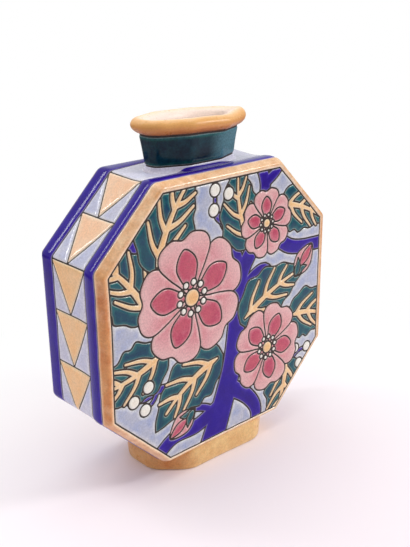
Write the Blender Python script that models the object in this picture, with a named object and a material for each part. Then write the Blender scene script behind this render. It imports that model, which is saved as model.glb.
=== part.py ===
"""Octagonal flask vase in enamelled faience, with a flared neck, a rolled lip and a hollow foot.

Metres, +Z up, front picture towards -Y, origin on the table under the middle of the foot.
"""

import math

import bmesh
import bpy

MM = 0.001

# Body: an upright flat-sided octagon, measured over the fired enamel
BODY_WIDTH = 183.3 * MM
BODY_HEIGHT = 176.9 * MM
BODY_DEPTH = 62.0 * MM
CORNER_CUT = 42.8 * MM
BEVEL_ACROSS = 4.5 * MM
BEVEL_BACK = 5.3 * MM
CLAY_WALL = 5.0 * MM

# Enamel fields, fired on the clay with an open line between neighbours
ENAMEL = 0.8 * MM
SEAT = 0.3 * MM
LINE = 0.7 * MM
EDGE_BAND = 9.8 * MM
TRIANGLE_MARGIN = 0.8 * MM
TRIANGLES = (("upper", 2), ("side", 3), ("lower", 2))

# Neck: its width follows the belt of wall between the two blue edges
NECK_LENGTH = 65.2 * MM
NECK_SIDE = 22.0 * MM
NECK_END = 2.0 * MM
NECK_CORNER = 7.2 * MM
NECK_HEIGHT = 22.0 * MM
NECK_FLARE = 3.0 * MM
NECK_WALL = 4.0 * MM
FILLET_HEIGHT = 3.6 * MM
FILLET_SPREAD = 1.2 * MM
NECK_CLEARANCE = 0.3 * MM

# Lip
LIP_HEIGHT = 8.8 * MM
LIP_OVERHANG = 4.5 * MM
LIP_FACETS = 12
LIP_ROUNDNESS = 0.7

# Foot: its top follows the flat underside of the body, and its wall stands out past that by the flare
FOOT_LENGTH = 98.3 * MM
FOOT_SIDE = 46.0 * MM
FOOT_END = 11.0 * MM
FOOT_CORNER = 16.0 * MM
FOOT_HEIGHT = 12.8 * MM
FOOT_FLARE = 5.2 * MM
FOOT_TUCK = 2.0 * MM
FOOT_WALL = 5.5 * MM
FOOT_ROUNDING = 1.0 * MM
FOOT_INSET = 0.2 * MM

# Soft corners of the neck, lip and foot are each drawn with this many short sides
CORNER_SIDES = 3
SHARP_ANGLE = math.radians(50)

# Derived levels and depths
COVER = ENAMEL + SEAT
BODY_BASE = FOOT_HEIGHT
BODY_TOP = BODY_BASE + BODY_HEIGHT
BODY_MIDDLE = BODY_BASE + BODY_HEIGHT / 2
CLAY_BASE = BODY_BASE + COVER
CLAY_TOP = BODY_TOP - COVER
NECK_START = BODY_TOP + FILLET_HEIGHT
LIP_BASE = BODY_TOP + NECK_HEIGHT
FACE = BODY_DEPTH / 2
BELT_HALF = FACE - BEVEL_BACK - EDGE_BAND
BEVEL_SLANT = math.hypot(BEVEL_ACROSS, BEVEL_BACK)
NECK_WIDTH = 2 * (BELT_HALF - FILLET_SPREAD - NECK_CLEARANCE)

CREAM_CLAY = (0.80, 0.74, 0.66)
OCHRE = (0.78, 0.49, 0.22)
COBALT = (0.05, 0.03, 0.33)
LAVENDER = (0.52, 0.55, 0.72)
PEACH = (0.84, 0.50, 0.30)
TEAL = (0.02, 0.09, 0.10)
GOLD_OCHRE = (0.66, 0.38, 0.11)


def glazed(obj, colour, roughness=0.2):
    """Give the object a material of its own."""
    material = bpy.data.materials.new(obj.name + "_glaze")
    material.use_nodes = True
    shader = material.node_tree.nodes["Principled BSDF"]
    shader.inputs["Base Color"].default_value = (*colour, 1.0)
    shader.inputs["Roughness"].default_value = roughness
    obj.data.materials.append(material)


def lofted(name, loops, ring=False):
    """A closed solid through equal loops of points: capped at both ends, or closed on itself as a ring."""
    bm = bmesh.new()
    rows = [[bm.verts.new(point) for point in loop] for loop in loops]
    count = len(rows[0])
    pairs = list(zip(rows, rows[1:]))
    if ring:
        pairs.append((rows[-1], rows[0]))
    else:
        bm.faces.new(rows[0])
        bm.faces.new(rows[-1])
    for first, second in pairs:
        for i in range(count):
            j = (i + 1) % count
            bm.faces.new((first[i], first[j], second[j], second[i]))
    bmesh.ops.recalc_face_normals(bm, faces=bm.faces)
    if bm.calc_volume(signed=True) < 0:
        bmesh.ops.reverse_faces(bm, faces=bm.faces)
    mesh = bpy.data.meshes.new(name)
    bm.to_mesh(mesh)
    bm.free()
    obj = bpy.data.objects.new(name, mesh)
    bpy.context.scene.collection.objects.link(obj)
    return obj


def smooth(obj):
    """Shade round work smooth and keep its sharp edges."""
    obj.data.shade_smooth()
    obj.data.set_sharp_from_angle(angle=SHARP_ANGLE)


def cut(obj, tool):
    """Take the tool's shape out of the object and keep the tool out of sight."""
    tool.hide_render = True
    tool.display_type = "WIRE"
    modifier = obj.modifiers.new(tool.name, "BOOLEAN")
    modifier.operation = "DIFFERENCE"
    modifier.solver = "EXACT"
    modifier.object = tool


def octagon(inset, y):
    """The body's outline at a depth below its outer wall, as points in the plane y."""
    half_w = BODY_WIDTH / 2 - inset
    half_h = BODY_HEIGHT / 2 - inset
    corner = CORNER_CUT - inset * (2 - math.sqrt(2))
    flat_w = half_w - corner
    flat_h = half_h - corner
    points = []
    for x, z in ((-1, 1), (1, 1), (1, -1), (-1, -1)):
        ends = [(x * flat_w, z * half_h), (x * half_w, z * flat_h)]
        points += ends if x * z > 0 else ends[::-1]
    return [(px, y, BODY_MIDDLE + pz) for px, pz in points]


def face_level(depth):
    """Inset and y of the picture face's edge at a depth below the enamel."""
    return BEVEL_ACROSS + depth * (BEVEL_SLANT - BEVEL_ACROSS) / BEVEL_BACK, depth - FACE


def wall_level(depth):
    """Inset and y of the wall's edge at a depth below the enamel."""
    return depth, BEVEL_BACK - FACE + depth * (BEVEL_SLANT - BEVEL_BACK) / BEVEL_ACROSS


def on_bevel(depth, share):
    """Inset and y of a point on the bevel, from 0 at the picture face to 1 at the wall."""
    start = face_level(depth)
    end = wall_level(depth)
    return tuple(a + (b - a) * share for a, b in zip(start, end))


def soft_loop(length, width, side, end, corner, grow, z):
    """A long octagon with rounded corners, grown outwards by a distance, at the height z."""
    half_l = length / 2 - corner
    half_w = width / 2 - corner
    core = ((side / 2, half_w), (half_l, end / 2))
    slope = math.atan2(core[0][1] - core[1][1], core[1][0] - core[0][0])
    turn = math.pi / 2 - slope
    points = []
    for quarter, (sx, sy) in enumerate(((1, 1), (-1, 1), (-1, -1), (1, -1))):
        arcs = []
        for (x, y), first, last in ((core[1], 0, turn), (core[0], turn, math.pi / 2)):
            for k in range(CORNER_SIDES + 1):
                angle = first + (last - first) * k / CORNER_SIDES
                reach = corner + grow
                arcs.append((sx * (x + reach * math.cos(angle)), sy * (y + reach * math.sin(angle)), z))
        points += arcs[::-1] if quarter % 2 else arcs
    return points


def neck_loop(grow, z):
    return soft_loop(NECK_LENGTH, NECK_WIDTH, NECK_SIDE, NECK_END, NECK_CORNER, grow, z)


def foot_loop(grow, z):
    top_width = 2 * (-wall_level(COVER)[1] - FOOT_INSET)
    width = top_width + 2 * FOOT_FLARE
    return soft_loop(FOOT_LENGTH, width, FOOT_SIDE, FOOT_END, FOOT_CORNER, grow, z)


def flipped(loops):
    """The same loops turned half way round, for the back of the body."""
    return [[(-x, -y, z) for x, y, z in loop] for loop in loops]


def side_corners(hand, inset):
    """The four corners of one side of the body's outline, from the top facet down to the bottom one."""
    return [(hand * x, z) for x, _, z in octagon(inset, 0.0)[2:6]]


def facet_frame(hand, facet):
    """Start, direction, inward normal and length of a side facet, running downwards."""
    (x0, z0), (x1, z1) = side_corners(hand, 0.0)[facet:facet + 2]
    length = math.hypot(x1 - x0, z1 - z0)
    along = ((x1 - x0) / length, (z1 - z0) / length)
    inward = (hand * along[1], -hand * along[0])
    return (x0, z0), along, inward, length


def triangle_loops(hand, facet, start, stop, inset, near, far):
    """Two triangles across the belt, base up and apex down, at two depths below the enamel's surface."""
    (x0, z0), along, inward, _ = facet_frame(hand, facet)
    half = BELT_HALF - LINE / 2 - TRIANGLE_MARGIN
    base = start + TRIANGLE_MARGIN / 2
    apex = stop - TRIANGLE_MARGIN / 2
    tip = math.atan2(half, apex - base)
    low, high = base + inset, apex - inset / math.sin(tip)
    reach = (high - low) * half / (apex - base)
    loops = []
    for depth in (near, far):
        corners = ((low, -reach), (low, reach), (high, 0.0))
        loops.append([
            (x0 + along[0] * s + inward[0] * depth, y, z0 + along[1] * s + inward[1] * depth)
            for s, y in corners
        ])
    return loops


def belt_loops(hand):
    """Sections of the wall belt on one side, from under the neck round to above the foot."""
    reach = BELT_HALF - LINE / 2
    stops = []
    for inset in (0.0, ENAMEL):
        corners = side_corners(hand, inset)
        start, stop = [(hand * SEAT, corners[k][1]) for k in (0, -1)]
        stops.append([start, *corners, stop])
    loops = []
    for outer, inner in zip(*stops):
        loops.append([
            (outer[0], -reach, outer[1]),
            (outer[0], reach, outer[1]),
            (inner[0], reach, inner[1]),
            (inner[0], -reach, inner[1]),
        ])
    return loops


def build_shells(bore):
    """Two moulded half shells that meet on the middle of the wall, with half the mouth in each."""
    deep = COVER + CLAY_WALL
    levels = [face_level(COVER), wall_level(COVER), (COVER, -SEAT / 2)]
    levels += [(deep, -SEAT / 2), wall_level(deep), face_level(deep)]
    loops = [octagon(*level) for level in levels]
    for name, sections in (("front_half_shell", loops), ("back_half_shell", flipped(loops))):
        shell = lofted(name, sections)
        glazed(shell, CREAM_CLAY, 0.5)
        cut(shell, bore)


def build_faces(foot_tool):
    """Picture, ochre frame and blue edge on the front, and the same on the back."""
    share = LINE / 2 / BEVEL_SLANT
    picture = []
    for depth in (0.0, ENAMEL):
        inset, y = face_level(depth)
        picture.append(octagon(inset + LINE / 2, y))
    frame = [octagon(*on_bevel(depth, s)) for depth, s in (
        (0.0, share),
        (0.0, 1 - share),
        (ENAMEL, 1 - share),
        (ENAMEL, share),
    )]
    start = BEVEL_BACK - FACE + LINE / 2
    stop = -BELT_HALF - LINE / 2
    edge = [octagon(depth, y) for depth, y in ((0, start), (0, stop), (ENAMEL, stop), (ENAMEL, start))]
    for place, turn in (("front", list), ("back", flipped)):
        glazed(lofted(place + "_picture", turn(picture)), LAVENDER)
        glazed(lofted(place + "_ochre_frame", turn(frame), ring=True), OCHRE)
        band = lofted(place + "_blue_edge", turn(edge), ring=True)
        glazed(band, COBALT)
        cut(band, foot_tool)


def build_walls(neck_tool, foot_tool):
    """The lavender belt of each side wall with a triangle of peach enamel let into every cell."""
    for place, hand in (("left", -1), ("right", 1)):
        ground = lofted(place + "_wall_ground", belt_loops(hand))
        glazed(ground, LAVENDER)
        cut(ground, neck_tool)
        cut(ground, foot_tool)
        for facet, (where, count) in enumerate(TRIANGLES):
            cell = facet_frame(hand, facet)[3] / count
            for k in range(count):
                name = f"{place}_{where}_triangle_{k + 1}"
                span = (hand, facet, k * cell, (k + 1) * cell)
                glazed(lofted(name, triangle_loops(*span, LINE, 0.0, ENAMEL)), PEACH)
                hole = lofted(name + "_hole", triangle_loops(*span, 0.0, -ENAMEL, 2 * ENAMEL))
                cut(ground, hole)


def build_neck():
    """Clay collar, its teal sleeve and the lavender fillet round its root."""
    clay, bore = -COVER, -COVER - NECK_WALL
    low, bend, high = CLAY_TOP + SEAT, NECK_START, LIP_BASE - SEAT
    collar = lofted("neck_collar", [
        neck_loop(clay, low),
        neck_loop(clay, bend),
        neck_loop(clay + NECK_FLARE, high),
        neck_loop(bore + NECK_FLARE, high),
        neck_loop(bore, bend),
        neck_loop(bore, low),
    ], ring=True)
    glazed(collar, CREAM_CLAY, 0.4)
    smooth(collar)
    low, high = NECK_START + LINE / 2, LIP_BASE - LINE
    sleeve = lofted("neck_enamel", [
        neck_loop(0.0, low),
        neck_loop(NECK_FLARE, high),
        neck_loop(NECK_FLARE - ENAMEL, high),
        neck_loop(-ENAMEL, low),
    ], ring=True)
    glazed(sleeve, TEAL)
    smooth(sleeve)
    low, high = CLAY_TOP + SEAT, NECK_START - LINE / 2
    fillet = lofted("neck_fillet", [
        neck_loop(-ENAMEL, low),
        neck_loop(FILLET_SPREAD, low),
        neck_loop(FILLET_SPREAD, BODY_TOP),
        neck_loop(0.0, high),
        neck_loop(-ENAMEL, high),
    ], ring=True)
    glazed(fillet, LAVENDER)
    smooth(fillet)


def build_lip():
    """A fat roll round the mouth, flat underneath where it sits on the collar."""
    inner = NECK_FLARE - COVER - NECK_WALL
    outer = NECK_FLARE + LIP_OVERHANG
    middle, reach = (inner + outer) / 2, (outer - inner) / 2
    flat = math.cos(math.pi / LIP_FACETS) ** LIP_ROUNDNESS
    loops = []
    for k in range(LIP_FACETS):
        angle = 2 * math.pi * (k + 0.5) / LIP_FACETS
        out, up = [
            math.copysign(abs(share) ** LIP_ROUNDNESS, share) / flat
            for share in (math.cos(angle), math.sin(angle))
        ]
        loops.append(neck_loop(middle + reach * out, LIP_BASE + LIP_HEIGHT / 2 * (1 + up)))
    lip = lofted("lip_roll", loops, ring=True)
    glazed(lip, OCHRE)
    smooth(lip)


def build_foot():
    """A hollow foot that carries the body on a flat ring and tucks in under it."""
    low = FOOT_HEIGHT - SEAT - FOOT_TUCK
    high = CLAY_BASE - SEAT
    foot = lofted("foot_ring", [
        foot_loop(-FOOT_ROUNDING, 0.0),
        foot_loop(0.0, FOOT_ROUNDING),
        foot_loop(0.0, low),
        foot_loop(-FOOT_FLARE, low + FOOT_TUCK),
        foot_loop(-FOOT_FLARE, high),
        foot_loop(-FOOT_FLARE - FOOT_WALL, high),
        foot_loop(-FOOT_FLARE - FOOT_WALL, 0.0),
    ], ring=True)
    glazed(foot, GOLD_OCHRE, 0.3)
    smooth(foot)


def main():
    for obj in list(bpy.data.objects):
        bpy.data.objects.remove(obj)
    over = 2 * CLAY_WALL
    bore = lofted("mouth_bore", [
        neck_loop(-COVER - NECK_WALL, z) for z in (CLAY_TOP - over, CLAY_TOP + over)
    ])
    neck_tool = lofted("neck_seat", [
        neck_loop(FILLET_SPREAD + LINE / 2, z) for z in (CLAY_TOP - over, CLAY_TOP + over)
    ])
    foot_tool = lofted("foot_seat", [
        foot_loop(LINE - FOOT_FLARE, z) for z in (CLAY_BASE - over, CLAY_BASE + CLAY_WALL)
    ])
    build_shells(bore)
    build_faces(foot_tool)
    build_walls(neck_tool, foot_tool)
    build_neck()
    build_lip()
    build_foot()


main()
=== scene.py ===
# %% [markdown]
# # An octagonal flask vase in line-and-enamel faience
# The vase is pale faience clay, cast in two halves, with a neck, a rolled lip and a flared foot.
# A dark greasy line is drawn on the clay, and thick coloured enamels are laid between the lines.
# In the kiln each field melts into a low glossy pillow that stops at the line around it.
# So the whole look rests on one idea: many small raised fields over a dark ground.
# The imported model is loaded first, and every size below starts from its boxes.

# %% Load the frame and keep its box
import math

import bmesh
import bpy
import numpy as np
from mathutils import Matrix, Vector


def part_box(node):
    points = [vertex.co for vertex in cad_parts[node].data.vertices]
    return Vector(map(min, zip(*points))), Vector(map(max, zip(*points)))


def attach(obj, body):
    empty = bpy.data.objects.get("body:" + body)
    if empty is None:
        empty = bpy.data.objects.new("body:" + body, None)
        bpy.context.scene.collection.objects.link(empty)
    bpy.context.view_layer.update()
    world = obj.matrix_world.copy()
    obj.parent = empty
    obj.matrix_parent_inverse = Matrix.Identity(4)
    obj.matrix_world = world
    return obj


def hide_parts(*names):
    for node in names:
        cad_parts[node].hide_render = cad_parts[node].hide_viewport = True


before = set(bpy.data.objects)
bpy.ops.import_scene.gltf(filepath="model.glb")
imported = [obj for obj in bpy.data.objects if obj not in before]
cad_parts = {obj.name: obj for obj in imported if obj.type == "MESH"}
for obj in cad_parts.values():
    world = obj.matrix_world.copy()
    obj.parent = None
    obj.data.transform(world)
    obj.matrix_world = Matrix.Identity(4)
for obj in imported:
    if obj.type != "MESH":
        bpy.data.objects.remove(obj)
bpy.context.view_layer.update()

MM = 0.001
print("nodes in the frame:", len(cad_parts))

# %% [markdown]
# ## Sizes
# Lengths below are in millimetres, and turn into metres only when a mesh is made.
# The blue edge gives the body's outline, the picture gives the flat face, and the neck, lip and
# foot give their own levels. Only what no box can tell is written here as a number.

# %% Read the body's sizes from the frame
CAD_GAP = 0.7
LINE = 0.85
CORNER_CUT = 42.8
CORNER_RADIUS = 5.0


def box_mm(node):
    """Lowest and highest corner of a node, in millimetres."""
    low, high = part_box(node)
    return np.array(low) / MM, np.array(high) / MM


edge_low, edge_high = box_mm("front_blue_edge")
face_low, face_high = box_mm("front_picture")
HALF_WIDTH = edge_high[0]
BASE = edge_low[2]
TOP = edge_high[2]
MIDDLE = (BASE + TOP) / 2
HALF_HEIGHT = (TOP - BASE) / 2
FACE = -face_low[1]
ARRIS = -edge_low[1] + CAD_GAP / 2
BELT = -edge_high[1] - CAD_GAP / 2
RIM = HALF_WIDTH - face_high[0] - CAD_GAP / 2
print(f"body {2 * HALF_WIDTH:.1f} x {2 * FACE:.1f} x {TOP - BASE:.1f} mm, rim {RIM:.2f}, belt {BELT:.2f}")

# %% [markdown]
# ## Camera
# The photograph looks down on the vase from its left front corner, from about half a metre away.
# The octagon's corners fix the place, the turn and the focal length, so these are plain values.
# The focal length is kept in pixels of a 410 by 547 frame and turned into a lens for the sensor.

# %% Set the camera
IMAGE_HEIGHT = 547
FOCAL_PIXELS = 816.5
SENSOR = 36.0
CAMERA_PLACE = Vector((-0.3219, -0.3705, 0.2964))
CAMERA_AIM = Vector((0.6284, 0.6998, -0.3407))
CAMERA_ROLL = -0.0114
NEAREST = 0.01

camera_data = bpy.data.cameras.new("camera")
camera_data.sensor_width = SENSOR
camera_data.lens = FOCAL_PIXELS * SENSOR / IMAGE_HEIGHT
camera_data.clip_start = NEAREST
camera = bpy.data.objects.new("camera", camera_data)
bpy.context.scene.collection.objects.link(camera)
aim = CAMERA_AIM.normalized()
level = aim.cross(Vector((0, 0, 1))).normalized()
upright = level.cross(aim)
right = level * math.cos(CAMERA_ROLL) + upright * math.sin(CAMERA_ROLL)
up = upright * math.cos(CAMERA_ROLL) - level * math.sin(CAMERA_ROLL)
turn = Matrix((right, up, -aim)).transposed()
camera.matrix_world = Matrix.Translation(CAMERA_PLACE) @ turn.to_4x4()
bpy.context.scene.camera = camera
print(f"lens {camera_data.lens:.2f} mm")

# %% [markdown]
# ## Studio
# The photograph was taken on pale paper in front of a white backdrop, with a darker room on the
# camera's side. A narrow lamp behind and to the left draws the thin bright lines along the blue
# bands, a small one in front and to the right lights the ochre frame and the foot, and a broad one
# hangs overhead. The world gives the fill light, brighter from the backdrop than from the room, and
# the camera sees it as plain white. The paper keeps the soft shadow and melts into white further
# away; beyond it lies a grey table, which only mirrors and soft light meet.

# %% Helpers for node trees
def add_node(tree, kind, **inputs):
    """A new node, with some of its inputs set by name; a node output is linked instead."""
    node = tree.nodes.new(kind)
    for key, value in inputs.items():
        socket = node.inputs[key.replace("_", " ")]
        if isinstance(value, bpy.types.NodeSocket):
            tree.links.new(value, socket)
        else:
            socket.default_value = value
    return node


def math_node(tree, operation, first, second=None, clamp=False):
    """One step of arithmetic on node outputs or numbers."""
    node = tree.nodes.new("ShaderNodeMath")
    node.operation = operation
    node.use_clamp = clamp
    for socket, value in zip(node.inputs, (first, second)):
        if isinstance(value, bpy.types.NodeSocket):
            tree.links.new(value, socket)
        elif value is not None:
            socket.default_value = value
    return node.outputs[0]


def seen_directly(tree):
    """One for camera and glass rays, and zero for the rays that carry light."""
    path = tree.nodes.new("ShaderNodeLightPath")
    return math_node(tree, "MAXIMUM", path.outputs["Is Camera Ray"], path.outputs["Is Transmission Ray"])

# %% Light the studio
FILL_STRENGTH = 0.66
FILL_SWING = 0.24
FILL_COLOUR = (0.97, 0.995, 0.985, 1.0)
BACKDROP = (0.67, 0.74, 0.0)
WHITE = (1.0, 1.0, 1.0, 1.0)

world = bpy.data.worlds.new("white_studio")
world.use_nodes = True
bpy.context.scene.world = world
tree = world.node_tree
tree.nodes.clear()
direction = tree.nodes.new("ShaderNodeTexCoord")
facing = tree.nodes.new("ShaderNodeVectorMath")
facing.operation = "DOT_PRODUCT"
tree.links.new(direction.outputs["Generated"], facing.inputs[0])
facing.inputs[1].default_value = BACKDROP
swing = math_node(tree, "MULTIPLY", facing.outputs["Value"], FILL_SWING)
strength = math_node(tree, "ADD", swing, FILL_STRENGTH)
fill = add_node(tree, "ShaderNodeBackground", Color=FILL_COLOUR, Strength=strength)
shown = add_node(tree, "ShaderNodeBackground", Color=WHITE, Strength=1.0)
both = tree.nodes.new("ShaderNodeMixShader")
tree.links.new(seen_directly(tree), both.inputs[0])
tree.links.new(fill.outputs[0], both.inputs[1])
tree.links.new(shown.outputs[0], both.inputs[2])
surround = tree.nodes.new("ShaderNodeOutputWorld")
tree.links.new(both.outputs[0], surround.inputs["Surface"])
print(f"fill light from {FILL_STRENGTH - FILL_SWING:.2f} to {FILL_STRENGTH + FILL_SWING:.2f}")

# %% Hang the lamps
# Place, target, direction of the long side, width, length and power.
LAMPS = {
    "overhead_softbox": (
        (-0.10, 0.05, 1.20), (0.0, 0.0, 0.12), (1.0, 0.0, 0.0), 1.00, 1.00, 4.1,
    ),
    "back_left_strip": (
        (-0.457, 0.715, 0.886), (-0.05, 0.0, 0.16), (0.783, -0.16, 0.602), 0.085, 0.55, 2.3,
    ),
    "front_right_box": (
        (0.756, -0.744, 0.736), (0.0, 0.0, 0.16), (0.0, 0.0, 1.0), 0.26, 0.26, 5.6,
    ),
}
for name, (place, target, along, width, length, power) in LAMPS.items():
    lamp = bpy.data.lights.new(name, "AREA")
    lamp.shape = "RECTANGLE"
    lamp.size = width
    lamp.size_y = length
    lamp.energy = power
    back = (Vector(place) - Vector(target)).normalized()
    side = Vector(along).cross(back).normalized()
    turn = Matrix((side, back.cross(side), back)).transposed()
    holder = bpy.data.objects.new(name, lamp)
    holder.matrix_world = Matrix.Translation(place) @ turn.to_4x4()
    bpy.context.scene.collection.objects.link(holder)
    print(name, "at", place)

# %% Lay the floor
FLOOR_REACH = 20.0
PAPER = (0.97, 0.885, 0.935)
PAPER_ROUGHNESS = 0.7
PAPER_SHINE = 0.2

floor_mesh = bpy.data.meshes.new("paper_floor")
corners = [(x * FLOOR_REACH, y * FLOOR_REACH, 0.0) for x, y in ((-1, -1), (1, -1), (1, 1), (-1, 1))]
floor_mesh.from_pydata(corners, [], [(0, 1, 2, 3)])
floor = bpy.data.objects.new("paper_floor", floor_mesh)
bpy.context.scene.collection.objects.link(floor)
paper = bpy.data.materials.new("pale_paper")
paper.use_nodes = True
tree = paper.node_tree
sheet = tree.nodes["Principled BSDF"]
sheet.inputs["Roughness"].default_value = PAPER_ROUGHNESS
sheet.inputs["Specular IOR Level"].default_value = PAPER_SHINE
floor_mesh.materials.append(paper)
print(f"floor laid, {2 * FLOOR_REACH:.0f} m across")

# %% Fade the paper into white
TABLE = (0.22, 0.21, 0.21)
PAPER_CENTRE = (-0.035, -0.085, 0.0)
PAPER_FADE = (0.08, 0.33)
PAPER_END = (0.42, 0.70)

place = tree.nodes.new("ShaderNodeNewGeometry")
away = tree.nodes.new("ShaderNodeVectorMath")
away.operation = "DISTANCE"
tree.links.new(place.outputs["Position"], away.inputs[0])
away.inputs[1].default_value = PAPER_CENTRE


def growing(limits):
    """From 0 at the first distance from the middle of the paper to 1 at the second."""
    node = add_node(tree, "ShaderNodeMapRange", Value=away.outputs["Value"])
    node.interpolation_type = "SMOOTHSTEP"
    node.inputs["From Min"].default_value, node.inputs["From Max"].default_value = limits
    return node.outputs["Result"]


cover = tree.nodes.new("ShaderNodeMix")
cover.data_type = "RGBA"
tree.links.new(growing(PAPER_END), cover.inputs[0])
cover.inputs[6].default_value = (*PAPER, 1.0)
cover.inputs[7].default_value = (*TABLE, 1.0)
tree.links.new(cover.outputs[2], sheet.inputs["Base Color"])

glow = add_node(tree, "ShaderNodeEmission", Color=WHITE, Strength=1.0)
blend = tree.nodes.new("ShaderNodeMixShader")
tree.links.new(math_node(tree, "MULTIPLY", growing(PAPER_FADE), seen_directly(tree)), blend.inputs[0])
tree.links.new(sheet.outputs[0], blend.inputs[1])
tree.links.new(glow.outputs[0], blend.inputs[2])
tree.links.new(blend.outputs[0], tree.nodes["Material Output"].inputs["Surface"])
bpy.context.scene.view_settings.view_transform = "Standard"
print(f"the paper turns white from {PAPER_FADE[0]} to {PAPER_FADE[1]} m off its middle")

# %% [markdown]
# ## Enamel as a material
# Enamel is coloured glass. Where it lies thin, at the edge of a field, the white clay shines
# through and it looks pale; where it pools it is deep. Each enamel mesh therefore carries a number
# called depth, from 0 at the edge to 1 in the pool, and the material mixes pale and deep by it.
# A second number, tone, runs from the root to the tip of a petal or leaf. Noise in object space
# adds the drift of a hand-mixed colour, small differences in gloss and a faint orange-peel bump.

# %% Noise, ranges and mixes
def noise(tree, scale, detail=3.0, roughness=0.55):
    """Smooth noise over the object, its scale in waves per metre."""
    where = tree.nodes.new("ShaderNodeTexCoord")
    return add_node(tree, "ShaderNodeTexNoise", Vector=where.outputs["Object"], Scale=scale,
                    Detail=detail, Roughness=roughness).outputs["Fac"]


def spread(tree, value, low, high, start=0.3, stop=0.7):
    """The noise value stretched from one range to another."""
    node = add_node(tree, "ShaderNodeMapRange", Value=value)
    for key, number in (("From Min", start), ("From Max", stop), ("To Min", low), ("To Max", high)):
        node.inputs[key].default_value = number
    return node.outputs["Result"]


def mixed(tree, share, first, second, kind="MIX"):
    """Two colours mixed by a share."""
    node = tree.nodes.new("ShaderNodeMix")
    node.data_type = "RGBA"
    node.blend_type = kind
    for socket, value in zip((node.inputs[0], node.inputs[6], node.inputs[7]), (share, first, second)):
        if isinstance(value, bpy.types.NodeSocket):
            tree.links.new(value, socket)
        elif isinstance(value, tuple):
            socket.default_value = (*value, 1.0)
        else:
            socket.default_value = value
    return node.outputs[2]


def attribute(tree, name):
    """A number that the mesh carries on its points, such as depth or tone."""
    node = tree.nodes.new("ShaderNodeAttribute")
    node.attribute_name = name
    return node.outputs["Fac"]

# %% Mix one enamel
WHITE_CLAY = (0.78, 0.74, 0.68)
THIN_SHARE = 0.38
THIN_RANGE = (0.02, 0.24)
DRIFT_SHARE = 0.85
DRIFT_RANGE = (0.42, 0.66)
CLOUD_SCALE = 180
SPECKLE_SCALE = 900
GLOSS_SCALE = 260
PEEL_SCALES = (95, 420)
PEEL_SHARE = 0.22
PEEL_HEIGHT = 0.001
GLOSS_RANGE = (0.7, 1.5)


def enamel(name, pale, deep, drift, tip=None, tip_start=0.55, gloss=0.07, shine=0.5, drift_scale=70,
           grain=0.10, peel=0.16, clouds=0.22):
    """Glossy glass colour: pale to deep by depth, drifting towards a third colour, with a tip colour."""
    material = bpy.data.materials.new(name)
    material.use_nodes = True
    tree = material.node_tree
    shader = tree.nodes["Principled BSDF"]
    shader.inputs["Specular IOR Level"].default_value = shine
    pool = spread(tree, noise(tree, CLOUD_SCALE), -clouds, clouds)
    depth = math_node(tree, "ADD", attribute(tree, "depth"), pool, clamp=True)
    colour = mixed(tree, depth, pale, deep)
    rim = spread(tree, attribute(tree, "depth"), THIN_SHARE, 0.0, *THIN_RANGE)
    colour = mixed(tree, rim, colour, WHITE_CLAY)
    wander = spread(tree, noise(tree, drift_scale), 0.0, 1.0, *DRIFT_RANGE)
    wander = math_node(tree, "MULTIPLY", wander, math_node(tree, "MULTIPLY", depth, DRIFT_SHARE))
    colour = mixed(tree, wander, colour, drift)
    if tip:
        tone = add_node(tree, "ShaderNodeMapRange", Value=attribute(tree, "tone"))
        tone.inputs["From Min"].default_value = tip_start
        colour = mixed(tree, tone.outputs["Result"], colour, tip)
    speckle = spread(tree, noise(tree, SPECKLE_SCALE, 2.0), 1.0 - grain, 1.0 + grain)
    shade = tree.nodes.new("ShaderNodeCombineColor")
    for socket in shade.inputs:
        tree.links.new(speckle, socket)
    colour = mixed(tree, 1.0, colour, shade.outputs[0], "MULTIPLY")
    tree.links.new(colour, shader.inputs["Base Color"])
    rough = spread(tree, noise(tree, GLOSS_SCALE, 4.0), *(gloss * share for share in GLOSS_RANGE))
    tree.links.new(rough, shader.inputs["Roughness"])
    waves = math_node(tree, "MULTIPLY_ADD", noise(tree, PEEL_SCALES[1], 2.0), PEEL_SHARE)
    tree.links.new(noise(tree, PEEL_SCALES[0], 2.0), waves.node.inputs[2])
    ripple = add_node(tree, "ShaderNodeBump", Height=waves, Strength=peel, Distance=PEEL_HEIGHT)
    tree.links.new(ripple.outputs[0], shader.inputs["Normal"])
    return material


print(f"at a thin edge the clay makes up to {THIN_SHARE:.0%} of the colour")

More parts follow.
